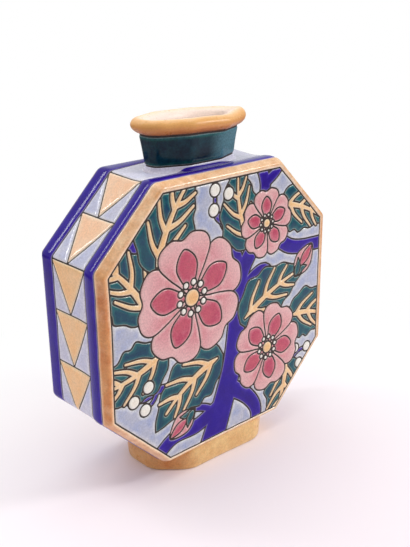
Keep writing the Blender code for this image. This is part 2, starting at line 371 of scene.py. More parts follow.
# %% Mix the palette
ENAMELS = {
    "cobalt": enamel("cobalt_enamel", (0.062, 0.029, 0.39), (0.026, 0.007, 0.28), (0.027, 0.008, 0.21),
                     gloss=0.10, shine=0.19, peel=0.03),
    "lavender": enamel("lavender_enamel", (0.80, 0.78, 0.85), (0.58, 0.57, 0.70), (0.50, 0.52, 0.73),
                       shine=0.32, grain=0.13, clouds=0.36),
    # The tip colour darkens the far end of the top and underside fields: painted shade.
    "top_lavender": enamel("top_lavender_shaded_enamel", (0.80, 0.78, 0.86), (0.66, 0.645, 0.77),
                           (0.59, 0.59, 0.77), tip=(0.53, 0.52, 0.64), tip_start=0.62, shine=0.12),
    "mauve": enamel("mauve_ground_enamel", (0.68, 0.68, 0.72), (0.46, 0.475, 0.585), (0.34, 0.39, 0.61),
                    drift_scale=120, shine=0.4, grain=0.13, clouds=0.36),
    "peach": enamel("peach_enamel", (0.98, 0.77, 0.57), (0.97, 0.58, 0.36), (0.96, 0.65, 0.45)),
    "amber": enamel("amber_enamel", (0.96, 0.70, 0.42), (0.93, 0.52, 0.22), (0.92, 0.58, 0.30)),
    "ochre": enamel("ochre_enamel", (0.97, 0.67, 0.42), (0.62, 0.21, 0.057), (0.77, 0.37, 0.125),
                    gloss=0.13, peel=0.08),
    "vein": enamel("vein_enamel", (0.93, 0.66, 0.40), (0.88, 0.52, 0.22), (0.84, 0.43, 0.17)),
    "teal": enamel("teal_enamel", (0.024, 0.155, 0.160), (0.003, 0.062, 0.098), (0.005, 0.040, 0.105),
                   shine=0.3, grain=0.16, clouds=0.30),
    "pink": enamel("pink_enamel", (0.80, 0.46, 0.46), (0.65, 0.215, 0.25), (0.69, 0.28, 0.28),
                   tip=(0.77, 0.465, 0.455), tip_start=0.5, grain=0.14, clouds=0.40),
    "rose": enamel("rose_enamel", (0.63, 0.17, 0.22), (0.48, 0.046, 0.105), (0.54, 0.08, 0.12), grain=0.14,
                   clouds=0.36),
    "cream": enamel("cream_enamel", (0.93, 0.90, 0.84), (0.88, 0.84, 0.76), (0.86, 0.79, 0.68)),
}
print("enamels:", ", ".join(ENAMELS))

# %% [markdown]
# The drawn line is manganese brown, dry and matt beside the glass. The clay inside the vase has a
# thin cream glaze. Both get their own short material.

# %% Make the line and clay materials
GRIT_SCALE = 1500
GRIT_HEIGHT = 0.0004
CLAY_GLOSS = (0.8, 1.25)


def earthen(name, colour, other, gloss, scale, peel):
    """A two-colour earthen surface; noise at three scales breaks up its colour, gloss and relief."""
    material = bpy.data.materials.new(name)
    material.use_nodes = True
    tree = material.node_tree
    shader = tree.nodes["Principled BSDF"]
    share = spread(tree, noise(tree, scale, 5.0, 0.65), 0.0, 1.0)
    tree.links.new(mixed(tree, share, colour, other), shader.inputs["Base Color"])
    rough = spread(tree, noise(tree, scale * 4), *(gloss * share for share in CLAY_GLOSS))
    tree.links.new(rough, shader.inputs["Roughness"])
    grit = noise(tree, GRIT_SCALE, 3.0)
    ripple = add_node(tree, "ShaderNodeBump", Height=grit, Strength=peel, Distance=GRIT_HEIGHT)
    tree.links.new(ripple.outputs[0], shader.inputs["Normal"])
    return material


LINE_BROWN = earthen("drawn_line_brown", (0.014, 0.008, 0.006), (0.036, 0.019, 0.013), 0.55, 220, 0.3)
CREAM_GLAZE = earthen("cream_inner_glaze", (0.92, 0.83, 0.75), (0.85, 0.73, 0.63), 0.16, 60, 0.1)
print("line and clay ready")

# %% [markdown]
# ## Turning points and faces into a piece
# Every piece is a closed mesh, built point by point, because the fields follow the drawn lines
# and no ready-made shape does. One helper makes the object, turns its faces outwards, writes the
# two numbers on its points, hangs it under the body's root and hides the frame's nodes it stands for.

# %% Helper that makes a piece
SOFT_ANGLE = math.radians(58)


def make_piece(name, points, faces, material, slot, nodes, depth=None, tone=None, flat=None):
    """A closed mesh in millimetres becomes a piece of the vase; flat is a place on a flat map."""
    mesh = bpy.data.meshes.new(name)
    mesh.from_pydata((np.asarray(points) * MM).tolist(), [], faces)
    for label, values in (("depth", depth), ("tone", tone)):
        if values is not None:
            layer = mesh.attributes.new(label, "FLOAT", "POINT")
            layer.data.foreach_set("value", np.asarray(values, np.float32))
    if flat is not None:
        layer = mesh.uv_layers.new(name="OFBake")
        layer.data.foreach_set("uv", np.asarray(flat, np.float32).ravel())
    bm = bmesh.new()
    bm.from_mesh(mesh)
    inside_out = bm.calc_volume(signed=True) < 0
    bm.free()
    if inside_out:
        mesh.flip_normals()
    mesh.shade_smooth()
    mesh.set_sharp_from_angle(angle=SOFT_ANGLE)
    mesh.materials.append(material)
    obj = bpy.data.objects.new(name, mesh)
    bpy.context.scene.collection.objects.link(obj)
    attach(obj, "root")
    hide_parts(*nodes)
    print(f"{name}: {len(mesh.polygons)} faces")
    return obj


def ring_faces(stations, section):
    """Quads of a tube that closes on itself both ways."""
    i, j = np.meshgrid(np.arange(stations), np.arange(section), indexing="ij")
    k, m = (i + 1) % stations, (j + 1) % section
    quads = np.stack([i * section + j, k * section + j, k * section + m, i * section + m], axis=-1)
    return quads.reshape(-1, 4).tolist()


print(f"edges sharper than {math.degrees(SOFT_ANGLE):.0f} degrees stay sharp")

# %% [markdown]
# ## The wall as a strip
# The wall of the body is a strip bent round an octagon with soft corners. A walk along it gives
# three things for any length: a point on an inner skeleton, the direction of the wall there, and
# so the wall itself at any height above or below its surface. Fields on the wall can then be drawn
# flat, in length and depth, and bent round afterwards. The mould was not quite true, so the wall
# sinks a little between its front and back edges.

# %% Walk along the wall
def wall_keys():
    """Length, skeleton x and z, and wall angle at each end of every straight and every corner."""
    half_w = HALF_WIDTH - CORNER_RADIUS
    half_h = HALF_HEIGHT - CORNER_RADIUS
    cut = CORNER_CUT - CORNER_RADIUS * (2 - math.sqrt(2))
    corners = []
    for x, z in ((1, 1), (1, -1), (-1, -1), (-1, 1)):
        ends = [(x * (half_w - cut), z * half_h), (x * half_w, z * (half_h - cut))]
        corners += ends if x * z > 0 else ends[::-1]
    arc = CORNER_RADIUS * math.pi / 4
    top = (0.0, half_h)
    length, here, angle = 0.0, top, math.pi / 2
    keys = [(length, *here, angle)]
    for corner in corners + [top]:
        length += math.dist(here, corner)
        here = corner
        keys.append((length, *here, angle))
        if corner != top:
            length += arc
            angle -= math.pi / 4
            keys.append((length, *here, angle))
    return np.array(keys)


KEYS = wall_keys()
ROUND = KEYS[-1][0]
CORNERS = (KEYS[1:-1:2, 0] + KEYS[2:-1:2, 0]) / 2
print(f"once round the wall is {ROUND:.1f} mm, corners at", np.round(CORNERS, 1))

# %% Swell the edges and bend the strip
FRONT_SWELL = 1.1
FRONT_START = 0.15
FRONT_RAMP = 0.65
UNDER_FADE = 1.4
BACK_SWELL = (0.6, 0.9)
BACK_START = -0.3


def soft_step(value):
    """From 0 to 1 with soft ends."""
    share = np.clip(value, 0, 1)
    return share * share * (3 - 2 * share)


def front_swell(upward):
    """How far the front edge of the wall stands proud: all round, but not underneath."""
    return FRONT_SWELL * np.clip(1 + UNDER_FADE * upward, 0, 1)


def wall_swell(upward, depth):
    """How far the wall stands proud: more at its two edges than between them."""
    depth = np.asarray(depth) / FACE
    back = np.clip(BACK_SWELL[0] + BACK_SWELL[1] * upward, 0, None)
    front = front_swell(upward) * soft_step((-depth - FRONT_START) / FRONT_RAMP)
    return front + back * soft_step(depth - BACK_START)


def wall_points(length, depth, rise):
    """Points of the wall at a length round it, a depth from front to back and a rise off it."""
    length = np.mod(length, ROUND)
    x, z, angle = (np.interp(length, KEYS[:, 0], KEYS[:, k]) for k in (1, 2, 3))
    reach = CORNER_RADIUS + rise + wall_swell(np.sin(angle), depth)
    flat = np.broadcast_arrays(x + np.cos(angle) * reach, depth, MIDDLE + z + np.sin(angle) * reach)
    return np.stack(flat, axis=-1)


print(f"front edge {FRONT_SWELL} mm proud, back edge up to {sum(BACK_SWELL):.1f} mm")

# %% [markdown]
# The edge of the body turns from the wall over a soft arris into a bevel, and over a tighter
# arris into the flat face. Its section is a path with rounded corners. Along that path lie the
# cobalt band and then the ochre frame, and the dark ground runs under both.

# %% Draw the edge's section
RAISE = 0.55
ARRIS_RADIUS = 5.0
BROW = 2.7
BROW_RADIUS = 1.5
RUN_UP = 12.0
RUN_IN = 6.0


def rounded_path(corners, radii, steps=7):
    """Points along straight runs, with an arc of the given radius at each inner corner."""
    points = [np.array(corners[0], float)]
    for before, here, after, radius in zip(corners, corners[1:], corners[2:], radii):
        before, here, after = (np.array(p, float) for p in (before, here, after))
        back = (before - here) / np.linalg.norm(before - here)
        on = (after - here) / np.linalg.norm(after - here)
        half = math.acos(np.clip(back @ on, -1, 1)) / 2
        start = here + back * radius / math.tan(half)
        middle = here + (back + on) / np.linalg.norm(back + on) * radius / math.sin(half)
        swing = math.pi - 2 * half
        away = start - middle
        side = math.copysign(1.0, back[0] * on[1] - back[1] * on[0])
        for k in range(steps + 1):
            a = -side * swing * k / steps
            c, s = math.cos(a), math.sin(a)
            points.append(middle + (away[0] * c - away[1] * s, away[0] * s + away[1] * c))
    points.append(np.array(corners[-1], float))
    return np.array(points)


EDGE_PATH = rounded_path(
    ((0.0, -BELT + RUN_UP), (0.0, -ARRIS), (BROW, -FACE), (RIM + RUN_IN, -FACE)),
    (ARRIS_RADIUS, BROW_RADIUS),
)
steps = np.diff(EDGE_PATH, axis=0)
EDGE_LENGTH = np.concatenate([[0.0], np.cumsum(np.hypot(*steps.T))]) - RUN_UP
slope = np.gradient(EDGE_PATH, EDGE_LENGTH, axis=0)
slope /= np.linalg.norm(slope, axis=1)[:, None]
ARRIS_AT = float(np.interp(ARRIS, -EDGE_PATH[:, 1], EDGE_LENGTH))
RIM_AT = float(EDGE_LENGTH[-1]) - RUN_IN


def edge_points(length, along, rise, side):
    """Points on the body's edge: length round the wall, distance along the section, rise off it."""
    inset, depth, run_in, run_back = (
        np.interp(along, EDGE_LENGTH, values) for values in (*EDGE_PATH.T, *slope.T)
    )
    over = rise - RAISE
    inset = inset + run_back * over
    depth = depth - run_in * over
    return wall_points(length, side * -depth, -inset)


print(f"section: arris at {ARRIS_AT:.2f} mm, rim at {RIM_AT:.2f} mm")

# %% [markdown]
# ## Dark ground
# Under all the fields lies the painted ground, half a millimetre below the enamel. It shows only
# in the lines. A ring follows the section of wall and edges, and two thin plates lie behind the
# pictures.

# %% Lay the dark ground
STATION = 0.8
EDGE_ROWS = 26
BELT_ROWS = 17
GROUND_SKIN = 0.45
GROUND_LAP = 1.5
PLATE_LAP = 0.6
WALLS = ("left_wall_ground", "right_wall_ground")
lengths = np.linspace(0, ROUND, int(ROUND / STATION), endpoint=False)


def ground_ring():
    """From the back face over the belt to the front face, and back again one skin deeper."""
    along = np.linspace(RIM_AT + GROUND_LAP, 0.0, EDGE_ROWS)
    belt = np.linspace(BELT, -BELT, BELT_ROWS)[1:-1]
    rows = [edge_points(lengths, a, 0.0, 1) for a in along]
    rows += [wall_points(lengths, depth, -RAISE) for depth in belt]
    rows += [edge_points(lengths, a, 0.0, -1) for a in along[::-1]]
    rows += [edge_points(lengths, a, -GROUND_SKIN, -1) for a in along[::4]]
    rows += [wall_points(lengths, depth, -RAISE - GROUND_SKIN) for depth in belt[::-2]]
    rows += [edge_points(lengths, a, -GROUND_SKIN, 1) for a in along[::-1][1::4]]
    points = np.stack(rows, axis=1)
    faces = ring_faces(len(lengths), len(rows))
    make_piece("wall_line_ground", points.reshape(-1, 3), faces, LINE_BROWN, "cream_glazed_clay", WALLS)


def ground_plate(place, side):
    """A thin plate behind one picture, its border under the ochre frame."""
    loops = [edge_points(lengths, RIM_AT - PLATE_LAP, rise, side) for rise in (0.0, -GROUND_SKIN)]
    count = len(lengths)
    faces = [(i, (i + 1) % count, count + (i + 1) % count, count + i) for i in range(count)]
    faces += [tuple(range(count))[::-1], tuple(range(count, 2 * count))]
    make_piece(place + "_line_ground", np.concatenate(loops), faces, LINE_BROWN, "picture_enamel",
               (place + "_picture",))


ground_ring()
ground_plate("front", -1)
ground_plate("back", 1)

# %% [markdown]
# ## Cobalt bands and ochre frames
# Each is one long bead of enamel laid round the edge, thick in the middle and thin at its borders,
# with borders that waver a little because a brush drew them. In front of the neck the blue swells
# and runs up to the neck's root, as it does on the real vase, so the neck's plan is read first. The
# ochre ran off the sloping stretches and pooled on the upright ones, and its deeper colour there and
# underneath is partly painted shade, where less light falls. On the back the
# frame sits further in, because no ochre shows at the vase's far edge.

# %% Read the neck's plan
sleeve_low, sleeve_high = box_mm("neck_enamel")
NECK_CORNER = 7.2
NECK_FLARE = 3.0
NECK_SIDE = 22.0
NECK_END = 2.0
NECK_LENGTH = 2 * (sleeve_high[0] - NECK_FLARE)
NECK_WIDTH = 2 * (sleeve_high[1] - NECK_FLARE)
NECK_FRONT = NECK_WIDTH / 2
NECK_SLANT = (NECK_FRONT - NECK_CORNER - NECK_END / 2) / (NECK_LENGTH / 2 - NECK_CORNER - NECK_SIDE / 2)
print(f"neck {NECK_LENGTH:.1f} x {NECK_WIDTH:.1f} mm")

# %% Soft steps and wavering lines
EDGE_RISE = 0.10
SHOULDER = 0.42
WAVES_ROUND = (9, 23, 41)
WAVE_PHASE = 1.7
WAVE_SUM = 2.2


def waver(length, seed):
    """A slow hand-drawn wander along a line, the same on every run."""
    phase = 2 * np.pi * np.asarray(length) / ROUND
    waves = (np.sin(phase * n + seed * (k + WAVE_PHASE)) for k, n in enumerate(WAVES_ROUND))
    return sum(waves) / WAVE_SUM


def pillow(inside):
    """Rise of enamel at a distance inside the border of its field."""
    return EDGE_RISE + (RAISE - EDGE_RISE) * (1 - np.exp(-np.maximum(inside, 0) / SHOULDER))


def ease(value):
    """A soft step from 0 to 1 round zero."""
    return 1 / (1 + np.exp(-value))


def between(place, start, stop, start_slope, stop_slope):
    """One between two places and zero outside them, with soft ends."""
    return ease((place - start) * start_slope) * ease((stop - place) * stop_slope)


def facing_up(length):
    """From 1 on the top of the wall, through 0 on its sides, to -1 underneath."""
    return np.sin(np.interp(np.mod(length, ROUND), KEYS[:, 0], KEYS[:, 3]))


def from_top(length):
    """Length from the middle of the top, negative to the left."""
    return np.mod(length + ROUND / 2, ROUND) - ROUND / 2


print(f"enamel rises {EDGE_RISE:.2f} mm at a line and {pillow(1.0):.2f} mm at 1 mm inside it")

# %% Trace where the blue climbs
SWELL_SPAN = (-21.0, 19.0, 0.55, 0.7)
LIFT_SPAN = (-17.0, 19.0, 0.45, 0.5)
CLIMB_GAP = 0.2
CLIMB_HEIGHT = 1.3
CLIMB_PEAK = 0.2
PEAK_PLACE = -11.0
PEAK_REACH = 5.0


def climb_peak(near):
    """One where the climbing blue is highest, left of the middle, and zero away from there."""
    return np.exp(-((near - PEAK_PLACE) / PEAK_REACH) ** 2)


def neck_swell(length):
    """How far the front blue band swells towards the neck."""
    near = from_top(length)
    slant = NECK_FRONT - NECK_SLANT * np.maximum(np.abs(near) - NECK_SIDE / 2, 0)
    gap = np.maximum(BELT - slant - CLIMB_GAP, 0)
    return gap * between(near, *SWELL_SPAN)


def neck_lift(length):
    """How far the front blue band rises in front of the neck to meet the neck's root."""
    near = from_top(length)
    height = CLIMB_HEIGHT + CLIMB_PEAK * climb_peak(near)
    return height * between(near, *LIFT_SPAN)


print(f"the blue climbs {neck_lift(lengths).max():.2f} mm at its highest")

# %% Trace the bands' borders
WAVER = 0.16
BELT_SEED = 2.0
FRAME_SEED = 7.0
FRONT_SLIP = (0.4, 2.0)
BACK_SLIP = (3.6, -1.0, 0.4)
BACK_STOPS = (CORNERS[0] - 30, CORNERS[0] + 3, CORNERS[1])
BACK_INSET = 3.2
FRAME_DRIFT = 1.3
DRIFT_PLACE = 140.0
DRIFT_REACH = 38.0


def belt_edge(length, side):
    """Where the line between a blue band and the wall's belt runs, as a depth."""
    if side < 0:
        slip = FRONT_SLIP[0] + FRONT_SLIP[1] * np.clip(facing_up(length), 0, 1) ** 4
        shift = -np.maximum(neck_swell(length), slip)
    else:
        shift = np.interp(np.abs(from_top(length)), BACK_STOPS, BACK_SLIP)
    return BELT + shift + WAVER * waver(length, BELT_SEED + side)


def frame_line(side):
    """Where the inner line of an ochre frame runs along the section; in front it drifts in on the left."""
    drift = FRAME_DRIFT * np.exp(-((lengths - ROUND + DRIFT_PLACE) / DRIFT_REACH) ** 2)
    drift = drift + front_swell(facing_up(lengths))
    return RIM_AT + (drift if side < 0 else BACK_INSET) + 0.5 * WAVER * waver(lengths, FRAME_SEED + side)


print(f"ochre frame {RIM_AT - ARRIS_AT:.1f} mm wide, on the back {BACK_INSET} mm further in")

# %% Lay one bead of enamel
SUNK = -0.15
BEAD_STEPS = 22
UNDER_STEPS = 7
BAND_POOL = 2.2
LIFT_POOL = 4.0
LIFT_SHARE = 0.4
LIFT_CURVE = 1.5


def bead(name, side, start, stop, crown, material, slot, node, pool=1.0, lift=0.0):
    """One band of enamel along the edge's section, between two borders, with a share of depth."""
    across = 0.5 - 0.5 * np.cos(np.pi * np.linspace(0, 1, BEAD_STEPS))
    rows, depths = [], []
    for share in across:
        along = start + (stop - start) * share
        inside = np.minimum(along - start + LIFT_POOL * lift, stop - along)
        climb = lift * max(0.0, 1 - share / LIFT_SHARE) ** LIFT_CURVE
        rise = pillow(inside) + crown * (1 - (2 * share - 1) ** 2) + climb
        rows.append(edge_points(lengths, along, rise, side))
        depths.append(np.clip(inside / BAND_POOL, 0, 1) * pool)
    for share in np.linspace(1, 0, UNDER_STEPS):
        rows.append(edge_points(lengths, start + (stop - start) * share, SUNK, side))
        depths.append(np.zeros(len(lengths)))
    points = np.stack(rows, axis=1).reshape(-1, 3)
    depth = np.stack(depths, axis=1).reshape(-1)
    make_piece(name, points, ring_faces(len(lengths), len(rows)), material, slot, (node,), depth)


print(f"a bead has {len(lengths)} sections of {BEAD_STEPS + UNDER_STEPS} points")

# %% Lay the bands and the frames
BACK_SHIFT = 4.3
LOW_SHIFT = -1.9
HIGH_SHIFT = -1.0
SLOPE_SHARE = 1.5
BORDER_LINE = 0.35
BORDER_SEED = 5.0
BAND_CROWN = 0.5
FRAME_CROWN = 0.12
POOL_LEAST = 0.28
UNDERSIDE_SHADE = 0.14
POOL_SPREAD = 0.45
RUN_BLUR = 20

upward = facing_up(lengths)
# Deeper ochre on the upright stretches and more underneath: partly pooled glass, partly painted shade where
# less light falls.
ochre_pool_and_shade = POOL_LEAST + (1 - POOL_LEAST) * np.exp(-(upward / POOL_SPREAD) ** 2)
ochre_pool_and_shade = ochre_pool_and_shade + UNDERSIDE_SHADE * np.clip(-upward, 0, 1)
ochre_pool_and_shade = np.mean([np.roll(ochre_pool_and_shade, step) for step in range(-RUN_BLUR, RUN_BLUR + 1)], axis=0)
for place, side in (("front", -1), ("back", 1)):
    low, high = (np.clip(way * SLOPE_SHARE * upward, 0, 1) for way in (-1, 1))
    slopes = LOW_SHIFT * low + HIGH_SHIFT * high
    shift = slopes if side < 0 else BACK_SHIFT
    border = ARRIS_AT + shift + WAVER * waver(lengths, BORDER_SEED + side)
    inner = frame_line(side)
    belt = BELT - belt_edge(lengths, side)
    lift = neck_lift(lengths) if side < 0 else 0.0
    bead(place + "_blue_band", side, LINE / 2 - belt, border - BORDER_LINE / 2, BAND_CROWN,
         ENAMELS["cobalt"], "cobalt_enamel", place + "_blue_edge", lift=lift)
    bead(place + "_ochre_frame_bead", side, border + BORDER_LINE / 2, inner - LINE / 2, FRAME_CROWN,
         ENAMELS["ochre"], "frame_ochre_enamel", place + "_ochre_frame", ochre_pool_and_shade)

# %% [markdown]
# ## Fields from drawn outlines
# A picture is a pile of outlines, the nearest on top. On a fine grid, each outline gives the
# distance to its line, counted positive inside. What lies above takes its own share away, so every
# motif knows how deep inside its visible field each grid point is. That one number does all the
# work: it cuts the field half a line short of its border, shapes the pillow and colours the glass.

# %% Distance inside an outline
FAR = 1e9
TINY = 1e-9


def inside_by(u, v, outline):
    """Distance from grid points to a closed outline, positive inside it."""
    nearest = np.full(u.shape, FAR)
    within = np.zeros(u.shape, bool)
    for (ax, ay), (bx, by) in zip(outline, np.roll(outline, -1, axis=0)):
        dx, dy = bx - ax, by - ay
        share = np.clip(((u - ax) * dx + (v - ay) * dy) / max(dx * dx + dy * dy, TINY), 0, 1)
        nearest = np.minimum(nearest, (u - ax - share * dx) ** 2 + (v - ay - share * dy) ** 2)
        if dy:
            crosses = (ay > v) != (by > v)
            within ^= crosses & (u < ax + (v - ay) / dy * dx)
    return np.where(within, 1, -1) * np.sqrt(nearest)


tile = np.array([(0, 0), (10, 0), (10, 10), (0, 10)], float)
middle = np.full((1, 1), 5.0)
print("the middle of a 10 mm tile lies", inside_by(middle, middle, tile)[0, 0], "mm inside")

# %% Cut a field out of the grid
LEAST_CUT = 0.06


def cut_field(u, v, inside):
    """Points (u, v), their depth inside, the faces, and the border edges of the part above zero."""
    kept = inside > 0
    number = np.full(inside.shape, -1)
    number[kept] = np.arange(kept.sum())
    points = [np.column_stack([u[kept], v[kept], inside[kept]])]
    total = int(kept.sum())
    cuts = []
    for axis in (0, 1):
        one = np.s_[:-1, :] if axis == 0 else np.s_[:, :-1]
        two = np.s_[1:, :] if axis == 0 else np.s_[:, 1:]
        crossed = kept[one] != kept[two]
        a, b = inside[one][crossed], inside[two][crossed]
        share = np.clip(a / (a - b), LEAST_CUT, 1 - LEAST_CUT)
        starts = [grid[one][crossed] for grid in (u, v)]
        stops = [grid[two][crossed] for grid in (u, v)]
        ends = [start + (stop - start) * share for start, stop in zip(starts, stops)]
        points.append(np.column_stack([*ends, np.zeros(len(share))]))
        label = np.full(crossed.shape, -1)
        label[crossed] = total + np.arange(len(share))
        total += len(share)
        cuts.append(label)
    full = kept[:-1, :-1] & kept[1:, :-1] & kept[1:, 1:] & kept[:-1, 1:]
    some = kept[:-1, :-1] | kept[1:, :-1] | kept[1:, 1:] | kept[:-1, 1:]
    i, j = np.nonzero(full)
    quad = (number[i, j], number[i + 1, j], number[i + 1, j + 1], number[i, j + 1])
    faces = np.stack(quad, axis=1).tolist()
    border = []
    for i, j in zip(*np.nonzero(some & ~full)):
        around = (
            (number[i, j], cuts[0][i, j]), (number[i + 1, j], cuts[1][i + 1, j]),
            (number[i + 1, j + 1], cuts[0][i, j + 1]), (number[i, j + 1], cuts[1][i, j]),
        )
        loop = [int(n) for pair in around for n in pair if n >= 0]
        faces.append(loop)
        first = int(kept.sum())
        for here, after in zip(loop, loop[1:] + loop[:1]):
            if here >= first and after >= first:
                border.append((here, after))
    return np.concatenate(points), faces, border


print(f"a border keeps {LEAST_CUT:.0%} of a grid step away from the grid's points")

# %% Raise one field
CROWN = 0.12
CROWN_REACH = 5.0


def field_mesh(u, v, shown, place):
    """A pillow on top, a skirt and a flat underside; also where each corner sits on a flat map."""
    flat, faces, border = cut_field(u, v, shown)
    count = len(flat)
    rise = pillow(flat[:, 2]) + CROWN * (1 - np.exp(-flat[:, 2] / CROWN_REACH))
    points = np.concatenate([place(flat[:, 0], flat[:, 1], rise), place(flat[:, 0], flat[:, 1], SUNK)])
    skirt = [(b, a, a + count, b + count) for a, b in border]
    under = [[n + count for n in face[::-1]] for face in faces]
    seats = [np.array([n % count for face in part for n in face], int) for part in (faces, skirt, under)]
    return flat, points, faces + skirt + under, seats


print(f"a wide field rises up to {RAISE + CROWN:.2f} mm off the ground")

# %% Raise the fields of a pile of motifs
MARGIN = 3.0
SHUT = -0.01
FIELD_POOL = 2.4
CHART_SPAN = 0.97
CHART_EDGE = 0.02
UNDER_CHART = 0.01
POINT_LISTS = ("points", "depth", "tone", "chart")


def raise_fields(motifs, limit, u_line, v_line, place, line=LINE):
    """Meshes of all motifs, gathered by colour; motifs come top first, limit is the outer border."""
    u, v = np.meshgrid(u_line, v_line, indexing="ij")
    room = inside_by(u, v, limit)
    above = np.full(u.shape, -FAR)
    wide = max(np.ptp(u_line), np.ptp(v_line))
    gathered = {}
    for colour, outlines, root, tip in motifs:
        spots = np.concatenate(outlines)
        low, high = spots.min(axis=0) - MARGIN, spots.max(axis=0) + MARGIN
        first = np.searchsorted(u_line, low[0]), np.searchsorted(v_line, low[1])
        last = np.searchsorted(u_line, high[0]), np.searchsorted(v_line, high[1])
        window = np.s_[first[0]:last[0], first[1]:last[1]]
        if u[window].size == 0:
            continue
        inside = np.max([inside_by(u[window], v[window], outline) for outline in outlines], axis=0)
        shown = np.minimum(np.minimum(inside, -above[window]), room[window]) - line / 2
        above[window] = np.maximum(above[window], inside)
        for edge in (np.s_[0, :], np.s_[-1, :], np.s_[:, 0], np.s_[:, -1]):
            shown[edge] = np.minimum(shown[edge], SHUT)
        if colour is None or not (shown > 0).any():
            continue
        flat, points, faces, seats = field_mesh(u[window], v[window], shown, place)
        axis = np.array(tip, float) - root
        tone = np.clip((flat[:, :2] - root) @ axis / max(axis @ axis, TINY), 0, 1)
        depth = np.clip(flat[:, 2] / FIELD_POOL, 0, 1)
        chart = (flat[:, :2] - (u_line[0], v_line[0])) / wide * CHART_SPAN + CHART_EDGE
        store = gathered.setdefault(colour, {key: [] for key in (*POINT_LISTS, "faces")})
        start = sum(map(len, store["points"]))
        store["faces"] += [[n + start for n in face] for face in faces]
        store["points"].append(points)
        store["depth"].append(np.concatenate([depth, depth]))
        store["tone"].append(np.concatenate([tone, tone]))
        store["chart"] += [chart[seats[0]], chart[seats[1]], chart[seats[2]] * UNDER_CHART]
    return gathered


def fields_to_pieces(gathered, names, slot, nodes):
    """One piece for each colour of a pile, named by the colour."""
    for colour, store in gathered.items():
        points, depth, tone, chart = (np.concatenate(store[key]) for key in POINT_LISTS)
        make_piece(names[colour], points, store["faces"], ENAMELS[colour], slot, nodes, depth, tone, chart)


print(f"the glass is deepest from {FIELD_POOL} mm inside a border on")

# %% [markdown]
# ## The belt on the wall
# Between the blue bands the wall is lavender, ruled into cells. Each cell on a side holds a peach
# triangle, base up and point down, so a zigzag runs down both sides. The top and the underside stay
# plain. All of it is drawn flat on the strip and bent round the octagon.

# %% Draw the belt's cells and triangles
CELLS = (("peach", (0.0, 0.476)), ("amber", (0.0, 0.34, 0.70)), ("peach", (0.04, 0.51)))
POINT_SHIFT = 1.0
TRIANGLE_LAP = 0.3
GRID_SPARE = 1.5
FIELD_REACH = BELT + BACK_SLIP[0] + GRID_SPARE


def belt_motifs(hand):
    """Triangles and the cells under them, from the top corner of a side to its bottom corner."""
    stops, colours = [], []
    for facet, (colour, shares) in enumerate(CELLS):
        start, stop = CORNERS[facet], CORNERS[facet + 1]
        stops += [start + (stop - start) * share for share in shares]
        colours += [colour] * len(shares)
    stops.append(CORNERS[len(CELLS)])
    triangles, cells = [], []
    for colour, start, stop in zip(colours, stops, stops[1:]):
        near, far = (start, stop) if hand > 0 else (ROUND - start, ROUND - stop)
        point = (far, (belt_edge(far, 1) - belt_edge(far, -1)) / 2 + POINT_SHIFT)
        front, back = -belt_edge(near, -1) - TRIANGLE_LAP, belt_edge(near, 1) + TRIANGLE_LAP
        triangle = np.array([(near, front), (near, back), point])
        triangles.append((colour, [triangle], (near, 0.0), (far, 0.0)))
        wide = FIELD_REACH
        cell = np.array([(near, -wide), (near, wide), (far, wide), (far, -wide)])
        cells.append(("lavender", [cell], (near, 0.0), (far, 0.0)))
    return triangles + cells


print("motifs on each side:", len(belt_motifs(1)))

# %% Rule the belt on both sides
GRID = 0.5
GRID_MARGIN = 2
LIMIT_STEPS = 240


def belt_limit(start, stop):
    """The belt's outline between two lengths, along the wavering lines of the blue bands."""
    run = np.linspace(start, stop, LIMIT_STEPS)
    front = np.column_stack([run, -belt_edge(run, -1)])
    back = np.column_stack([run, belt_edge(run, 1)])
    return np.concatenate([front, back[::-1]])


def on_wall(length, depth, rise):
    """Points of a field that is drawn flat, bent round the wall."""
    return wall_points(length, depth, rise - RAISE)


depth_line = np.arange(-BELT - GRID_SPARE, FIELD_REACH, GRID)
for place, hand in (("left", -1), ("right", 1)):
    start, stop = CORNERS[0], CORNERS[3]
    if hand < 0:
        start, stop = ROUND - CORNERS[3], ROUND - CORNERS[0]
    length_line = np.arange(start - GRID_MARGIN, stop + GRID_MARGIN, GRID)
    limit = belt_limit(start - 1, stop + 1)
    fields = raise_fields(belt_motifs(hand), limit, length_line, depth_line, on_wall)
    triangle_nodes = [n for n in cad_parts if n.startswith(place) and "triangle" in n]
    side_nodes = [n for n in triangle_nodes if "side" in n]
    slope_nodes = [n for n in triangle_nodes if "side" not in n]
    for colour, label, slot, nodes in (
        ("lavender", "_lavender_cells", "lavender_enamel", [place + "_wall_ground"]),
        ("peach", "_peach_triangles", "triangle_peach_enamel", slope_nodes),
        ("amber", "_amber_triangles", "triangle_peach_enamel", side_nodes),
    ):
        fields_to_pieces({colour: fields[colour]}, {colour: place + label}, slot, nodes)

# %% [markdown]
# ## Soft rings for neck, lip and foot
# Neck, lip and foot share one plan: a long octagon with well-rounded corners. It grows outwards for
# the flare, so a list of sections, each a growth and a height, sweeps any of them. The plan's sizes
# come from the nodes' boxes.

